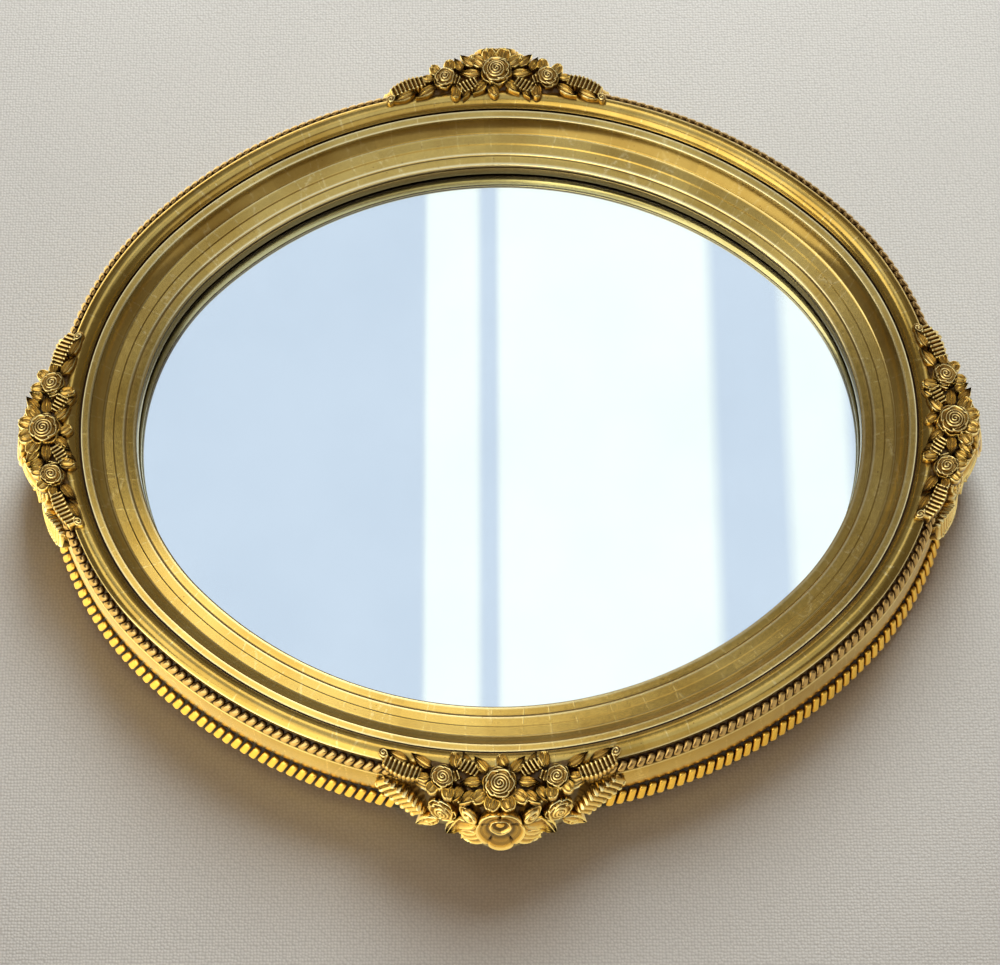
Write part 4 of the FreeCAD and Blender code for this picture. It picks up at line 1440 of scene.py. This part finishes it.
@dataclass
class Ornament:
    """One rose ornament: its ground, and the forms on its front and its outer slope."""

    side: Side
    lip: float = 7.0
    round_out: float = 2.2
    round_down: float = 1.35
    last_share: float = 0.9
    over_share: float = 0.12
    least_level: float = 1.0
    relief_crease: float = 75.0
    ground_half: float = 58.0
    ground_inset: float = 6.0
    ground_tuck: float = 2.2
    fade_from: float = 0.82
    fade_depth: float = 14.0
    ground_rows: int = 78
    ground_level: float = 67.4
    ground_foot: float = 57.0
    # Painted shade on the ground behind the forms
    ground_shade: float = -0.75
    ground_crease: float = 50.0

    @property
    def stretch(self) -> float:
        """Length of this ornament as a share of a long one."""
        return PLAN.half(self.side) / PLAN.long_half

    def outline(self, across: np.ndarray, end: float, flare: float) -> np.ndarray:
        """Distance of the ornament's outer edge from the centre of its arc.

        Args:
            across: distances from the ornament's middle line.
            end: how far out its ends lie.
            flare: how much further out its crown lies than at the front.

        Returns:
            The distances.
        """
        radius, half = OVAL.radius(self.side), PLAN.half(self.side)
        wide = PLAN.shoulder_half
        crown = radius + PLAN.reach(self.side) + flare
        shoulder = math.sqrt((crown - PLAN.shoulder_drop) ** 2 - wide**2)
        tip = math.sqrt((radius + end) ** 2 - half**2)
        sag = crown - shoulder
        bend = (wide**2 + sag**2) / (2 * sag)
        off = np.abs(across)
        arc = crown - bend + np.sqrt(np.maximum(bend**2 - np.minimum(off, wide) ** 2, 0))
        share = (off - wide) / (half - wide)
        return np.where(off <= wide, arc, shoulder + (tip - shoulder) * share)

    def edges(self, across: np.ndarray) -> tuple[np.ndarray, np.ndarray]:
        """Where the outer slope starts at the front and ends at the wall.

        Args:
            across: distances from the ornament's middle line.

        Returns:
            The two distances from the centre of the arc.
        """
        front = self.outline(across, PLAN.end_front, 0.0) - self.lip
        return front, self.outline(across, PLAN.end_back, PLAN.flare(self.side))

    def upright(self, across: np.ndarray, out: np.ndarray, level: np.ndarray) -> np.ndarray:
        """Points of the ornament's own frame in the maker's frame.

        Args:
            across: clockwise from the middle line.
            out: from the centre of the arc along the middle line.
            level: from the wall.

        Returns:
            The points.
        """
        x, y = OVAL.centre(self.side)
        turn = math.radians(PLAN.turn(self.side))
        right = x + out * math.cos(turn) + across * math.sin(turn)
        up = y + out * math.sin(turn) - across * math.cos(turn)
        return np.stack([right, up, level], axis=-1)

    def on_front(self, loops: np.ndarray, motif: Motif, hand: int) -> np.ndarray:
        """Lay a form on the front, bent to the oval.

        Args:
            loops: the form about its own place.
            motif: its place and direction.
            hand: one, or minus one for the form's mirror image.

        Returns:
            The points.
        """
        spread = (PLAN.reach(self.side) - PLAN.inner) / (PLAN.long_reach - PLAN.inner)
        outwards, sideways = motif.turned(loops)
        place = PLAN.inner + (motif.place - PLAN.inner) * spread
        out = OVAL.radius(self.side) + place + outwards
        angle = hand * (motif.along * self.stretch + sideways) / out
        return self.upright(out * np.sin(angle), out * np.cos(angle), PLAN.front + loops[..., 2])

    def slope(self, across: np.ndarray, down: np.ndarray) -> np.ndarray:
        """Points on the rounded outer slope.

        Args:
            across: from the middle line.
            down: along the slope from its front.

        Returns:
            The points.
        """
        front, back = self.edges(across)
        last, over = self.last_share, self.over_share
        share = down / (PLAN.front - PLAN.back)
        share = np.where(share > last, last + over * np.tanh((share - last) / over), share)
        swell = 1 - np.abs(1 - share) ** self.round_out * np.sign(1 - share)
        fall = np.maximum(share, 0) ** self.round_down
        level = PLAN.front - (PLAN.front - PLAN.back) * fall
        return self.upright(across, front + (back - front) * swell, level)

    def on_slope(self, loops: np.ndarray, motif: Motif, hand: int) -> np.ndarray:
        """Lay a form on the outer slope, bent to it.

        Args:
            loops: the form about its own place.
            motif: its place and direction.
            hand: one, or minus one for the form's mirror image.

        Returns:
            The points.
        """
        step_across, step_down, heart_level = 4.0, 2.0, 20.0
        ahead, sideways = motif.turned(loops)
        down = motif.place + ahead
        across = hand * (motif.along * self.stretch + sideways)
        base = self.slope(across, down)
        along_way = self.slope(across + step_across, down) - self.slope(across - step_across, down)
        down_way = self.slope(across, down + step_down) - self.slope(across, down - step_down)
        normal = np.cross(down_way, along_way)
        normal /= np.linalg.norm(normal, axis=-1, keepdims=True)
        heart = (np.zeros(1), np.array([OVAL.radius(self.side)]), np.array([heart_level]))
        outwards = np.sum(normal * (base - self.upright(*heart)), axis=-1, keepdims=True)
        points = base + np.where(outwards < 0, -normal, normal) * loops[..., 2:3]
        points[..., 2] = np.maximum(points[..., 2], self.least_level)
        return points

    def ground(self) -> np.ndarray:
        """The rough ground behind the forms.

        Returns:
            Loops from one end to the other.
        """
        radius = OVAL.radius(self.side)
        half = self.ground_half * self.stretch
        high, low = self.ground_level, PLAN.back + 0.8
        rng = np.random.default_rng(7)
        loops = []
        for across in np.linspace(-half, half, self.ground_rows):
            front, back = (float(edge[0]) for edge in self.edges(np.array([across])))
            inner = math.sqrt((radius + PLAN.inner + self.ground_inset) ** 2 - across**2)
            front = max(front - 1.0, inner + 3.0)
            back -= self.ground_tuck
            fade = max(0.0, abs(across) / half - self.fade_from) * self.fade_depth
            rows = [(inner, 56.0), (inner, 63.5 - fade), (inner + 1.5, 65.0 - fade)]
            for share in (0.25, 0.4, 0.55, 0.7, 0.85):
                level = high - fade + rng.uniform(-0.8, 0.6)
                rows.append((inner + (front - inner) * share, level))
            for share in (0.0, 0.06, 0.14, 0.24, 0.36, 0.48, 0.6, 0.72, 0.84, 0.96):
                out = front + (back - front) * (1 - (1 - share) ** self.round_out)
                level = high - (high - PLAN.back - 1.5) * share**self.round_down
                rows.append((out - fade + rng.uniform(-1.2, 0.3), level - fade * (1 - share)))
            foot = radius + self.ground_foot
            rows += [(back - fade, low), (foot, low), (foot, 30.0)]
            out, level = np.array(rows).T
            loops.append(self.upright(np.full(len(rows), across), out, level))
        return np.array(loops)

    def build(self, finish: bpy.types.Material) -> None:
        """Build the ornament's pieces.

        Args:
            finish: the gilding.
        """
        word = self.side.word
        groups: dict[str, Shell] = {}
        for motifs, lay in ((FRONT_MOTIFS, self.on_front), (SLOPE_MOTIFS, self.on_slope)):
            for motif in motifs:
                loops = motif.loops()
                shell = groups.setdefault(HOMES[motif.form], Shell())
                for hand in (1,) if motif.single else (1, -1):
                    shell.loft(lay(loops, motif, hand), edged(loops[..., 3]))
        for group, shell in groups.items():
            name = f"{word}_{group}"
            shell.piece(f"{name}_relief", finish, "gilt_compo", [name], self.relief_crease)
        ground = Shell()
        loops = self.ground()
        ground.loft(loops, edged(np.full(loops.shape[:2], self.ground_shade)))
        plaque = [f"{word}_plaque"]
        ground.piece(f"{word}_ground", finish, "gilt_compo", plaque, self.ground_crease)


@dataclass
class BackWork:
    """What shows behind: the base ring, felt, board, keys, turn buttons and hangers."""

    finishes: dict[str, Any] = field(
        default_factory=lambda: {
            "back_ring": PINE,
            "joint_keys": KEY_WOOD,
            "wall_felt": FELT,
            "backing_board": HARDBOARD,
            "turn_button_screws": ZINC,
            "turn_button": BRASS,
            "hanger": ZINC,
        }
    )

    def dress(self) -> None:
        """Give each CAD node behind the mirror its finish."""
        made: dict[str, bpy.types.Material] = {}
        for name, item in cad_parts.items():
            key = next((key for key in self.finishes if name.startswith(key)), None)
            if key is None:
                continue
            finish = self.finishes[key]
            if finish.name not in made:
                made[finish.name] = finish.material()
            item.data.materials.clear()
            item.data.materials.append(made[finish.name])
            LOG.info("%s: %s", name, finish.name)


@dataclass(frozen=True)
class Card:
    """A glowing card for the gilding to reflect, by its spread in degrees from the mirror."""

    name: str
    azimuths: tuple[float, float]
    elevations: tuple[float, float]
    distance: float
    colour: str
    strength: float

    def corners(self) -> list[tuple[float, float, float]]:
        """The card's four corners.

        Returns:
            Their places in metres.
        """
        (west, east), (low, high) = self.azimuths, self.elevations
        spots = []
        for azimuth, elevation in ((east, low), (west, low), (west, high), (east, high)):
            turn, rise = math.radians(azimuth), math.radians(elevation)
            flat, up = self.distance * math.cos(rise), self.distance * math.sin(rise)
            spots.append((flat * math.sin(turn), -flat * math.cos(turn), up))
        return spots


@dataclass
class Studio:
    """The camera, the pale wall and floor, and the soft lights. Lengths are in metres."""

    elevation: float = 19.94
    azimuth: float = 0.62
    roll: float = -0.31
    distance: float = 1.641
    aim: tuple[float, float, float] = (0.0008, -0.0405, -0.0418)
    focal_px: float = 2416.0
    image_px: float = 1000.0
    sensor_mm: float = 36.0
    floor_level: float = -1.75
    wall_gap: float = 0.0006
    room_half: float = 3.0
    room_top: float = 3.0
    room_front: float = -4.0
    cloth_sides: tuple[float, float] = (-1.36, 1.2)
    cloth_levels: tuple[float, float] = (1.12, 3.3)
    cloth_front: float = -6.0
    cloth_strength: float = 1.24
    # Each fold of the cloth: where it lies across the room, and its share of brightness
    folds: Pairs = (
        (-0.323, 0.0), (-0.304, 1.0), (-0.146, 1.0), (-0.118, 0.0), (-0.08, 0.0), (-0.056, 1.0),
        (0.629, 1.0), (0.675, 0.0), (0.871, 0.0), (0.918, 0.9), (1.077, 0.9), (1.114, 0.1),
    )
    cards: tuple[Card, ...] = (
        Card("low_left_card", (-42.0, -12.0), (-20.0, 9.0), 4.0, "#fffbea", 2.0),
        Card("low_card", (-12.0, 26.0), (-20.0, 9.0), 4.0, "#e6efff", 1.05),
        Card("floor_left_card", (-88.0, -4.0), (-60.0, -20.0), 1.6, "#fffbe6", 2.6),
        Card("floor_right_card", (-4.0, 88.0), (-60.0, -20.0), 1.6, "#fff9e8", 0.75),
        Card("side_card", (12.0, 36.0), (-2.0, 29.0), 4.0, "#fff4e4", 0.18),
        Card("window_card", (-1.0, 15.0), (29.0, 58.0), 5.0, "#fffdf0", 2.6),
        Card("high_left_card", (-36.0, -1.0), (29.0, 58.0), 4.5, "#f6f7ff", 0.36),
        Card("high_right_card", (15.0, 38.0), (29.0, 58.0), 4.5, "#fff4e6", 0.4),
        Card("ceiling_left_card", (-70.0, 0.0), (60.0, 86.0), 2.4, "#fffaf0", 1.0),
        Card("ceiling_right_card", (0.0, 70.0), (60.0, 86.0), 2.4, "#d8dce2", 0.6),
    )
    key_place: tuple[float, float, float] = (0.35, -1.95, 2.3)
    key_size: tuple[float, float] = (1.5, 2.2)
    key_power: float = 109.0
    key_colour: str = "#f4fcff"

    def camera(self) -> None:
        """Stand the camera where the photograph was taken from, below the mirror and looking up."""
        angles = (self.elevation, self.azimuth, self.roll)
        up_turn, side_turn, roll = (math.radians(angle) for angle in angles)
        flat = math.cos(up_turn)
        back = Vector((math.sin(side_turn) * flat, -math.cos(side_turn) * flat, -math.sin(up_turn)))
        level = Vector((math.cos(side_turn), math.sin(side_turn), 0))
        rise = level.cross(-back)
        right = level * math.cos(roll) + rise * math.sin(roll)
        up = rise * math.cos(roll) - level * math.sin(roll)
        lens = bpy.data.cameras.new("camera")
        lens.sensor_width = self.sensor_mm
        lens.lens = self.focal_px * self.sensor_mm / self.image_px
        item = bpy.data.objects.new("camera", lens)
        place = Matrix((right, up, back)).transposed().to_4x4()
        place.translation = Vector(self.aim) + back * self.distance
        item.matrix_world = place
        bpy.context.scene.collection.objects.link(item)
        bpy.context.scene.camera = item

    def sheet(
        self,
        name: str,
        corners: Sequence[Sequence[float]],
        material: bpy.types.Material,
        hidden: Sequence[str] = (),
    ) -> None:
        """Add one flat sheet of the stage.

        Args:
            name: the sheet's name.
            corners: its corners, anticlockwise from the side that shows.
            material: what it is made of.
            hidden: kinds of ray that pass it by.
        """
        mesh = bpy.data.meshes.new(name)
        mesh.from_pydata([tuple(corner) for corner in corners], [], [tuple(range(len(corners)))])
        mesh.materials.append(material)
        item = bpy.data.objects.new(name, mesh)
        bpy.context.scene.collection.objects.link(item)
        for ray in hidden:
            setattr(item, f"visible_{ray}", False)

    def stage(self) -> None:
        """Set up the wall behind the mirror, the floor, and what the mirror and gilding reflect."""
        gap, low, top = self.wall_gap, self.floor_level, self.room_top
        half, near = self.room_half, self.room_front
        self.sheet(
            "wall",
            [(-half, gap, low), (half, gap, low), (half, gap, top), (-half, gap, top)],
            PAINTED_WALL.material(),
        )
        self.sheet(
            "floor",
            [(-half, near, low), (half, near, low), (half, gap, low), (-half, gap, low)],
            PALE_FLOOR.material(),
        )
        (left, right), (foot, head), far = self.cloth_sides, self.cloth_levels, self.cloth_front
        bands = tuple(((x - left) / (right - left), level) for x, level in self.folds)
        cloth = GlowCloth("diffuser_cloth", "#cfd7eb", "#fdfefe", self.cloth_strength, bands)
        self.sheet(
            "diffuser",
            [(right, far, foot), (left, far, foot), (left, far, head), (right, far, head)],
            cloth.material(),
            ("camera", "shadow"),
        )
        hidden = ("camera", "diffuse", "transmission", "shadow")
        for card in self.cards:
            cloth = GlowCloth(f"{card.name}_cloth", card.colour, card.colour, card.strength)
            self.sheet(card.name, card.corners(), cloth.material(), hidden)

    def lights(self) -> None:
        """Hang the soft key lamp high in front; the cards give the gilding its reflections."""
        lamp = bpy.data.lights.new("key", "AREA")
        lamp.shape = "RECTANGLE"
        lamp.size, lamp.size_y = self.key_size
        lamp.energy = self.key_power
        lamp.color = linear(self.key_colour)[:3]
        item = bpy.data.objects.new("key", lamp)
        item.location = self.key_place
        item.rotation_euler = (-Vector(self.key_place)).to_track_quat("-Z", "Y").to_euler()
        item.visible_glossy = False
        item.visible_transmission = False
        bpy.context.scene.collection.objects.link(item)

    def world(self) -> None:
        """A plain warm room glow, with a pale backdrop where the camera looks past the wall."""
        world = bpy.data.worlds.new("studio")
        bpy.context.scene.world = world
        world.use_nodes = True
        tree = world.node_tree
        tree.nodes.clear()
        bounce, room, backdrop = (
            node(tree, "Background", {"Color": linear(colour), "Strength": 1.0})
            for colour in ("#836647", "#78726a", "#dad7d2")
        )
        glossy = node(tree, "LightPath", out="Is Glossy Ray")
        seen = node(tree, "LightPath", out="Is Camera Ray")
        mirrored = node(tree, "MixShader", {0: glossy, 1: bounce, 2: room})
        surface(tree, node(tree, "MixShader", {0: seen, 1: mirrored, 2: backdrop}), "World")

    def build(self) -> None:
        """Set up everything round the object."""
        bpy.context.scene.view_settings.view_transform = "Standard"
        self.camera()
        self.stage()
        self.lights()
        self.world()


ROPE = BeadRun(
    Course.ROPE,
    length=8.6,
    radius=2.9,
    height=2.8,
    pitch=6.3,
    slant=-14,
    seat=((50, 62.1), (57.3, 52.6)),
    squareness=3.2,
    fullness=0.75,
    bow=-0.7,
)
GADROONS = BeadRun(
    Course.GADROONS,
    length=12.4,
    radius=2.6,
    height=2.8,
    pitch=7,
    slant=-18,
    seat=((60, 18.3), (66.2, 4.6)),
    squareness=6.0,
    fullness=0.5,
    under=8.0,
)


def main() -> None:
    """Build every piece of the mirror and the studio round it."""
    logging.basicConfig(level=logging.INFO)
    frame_leaf = FRAME_LEAF.material()
    compo_leaf = COMPO_LEAF.material()
    Studio().build()
    Moulding().build(frame_leaf)
    MirrorPlate().build(SLIP_LEAF.material())
    ROPE.build(ROPE_LEAF.material())
    GADROONS.build(GADROON_LEAF_PAINTED_BRIGHT.material())
    for side in Side:
        Ornament(side).build(compo_leaf)
    BackWork().dress()


if __name__ == "__main__":
    main()
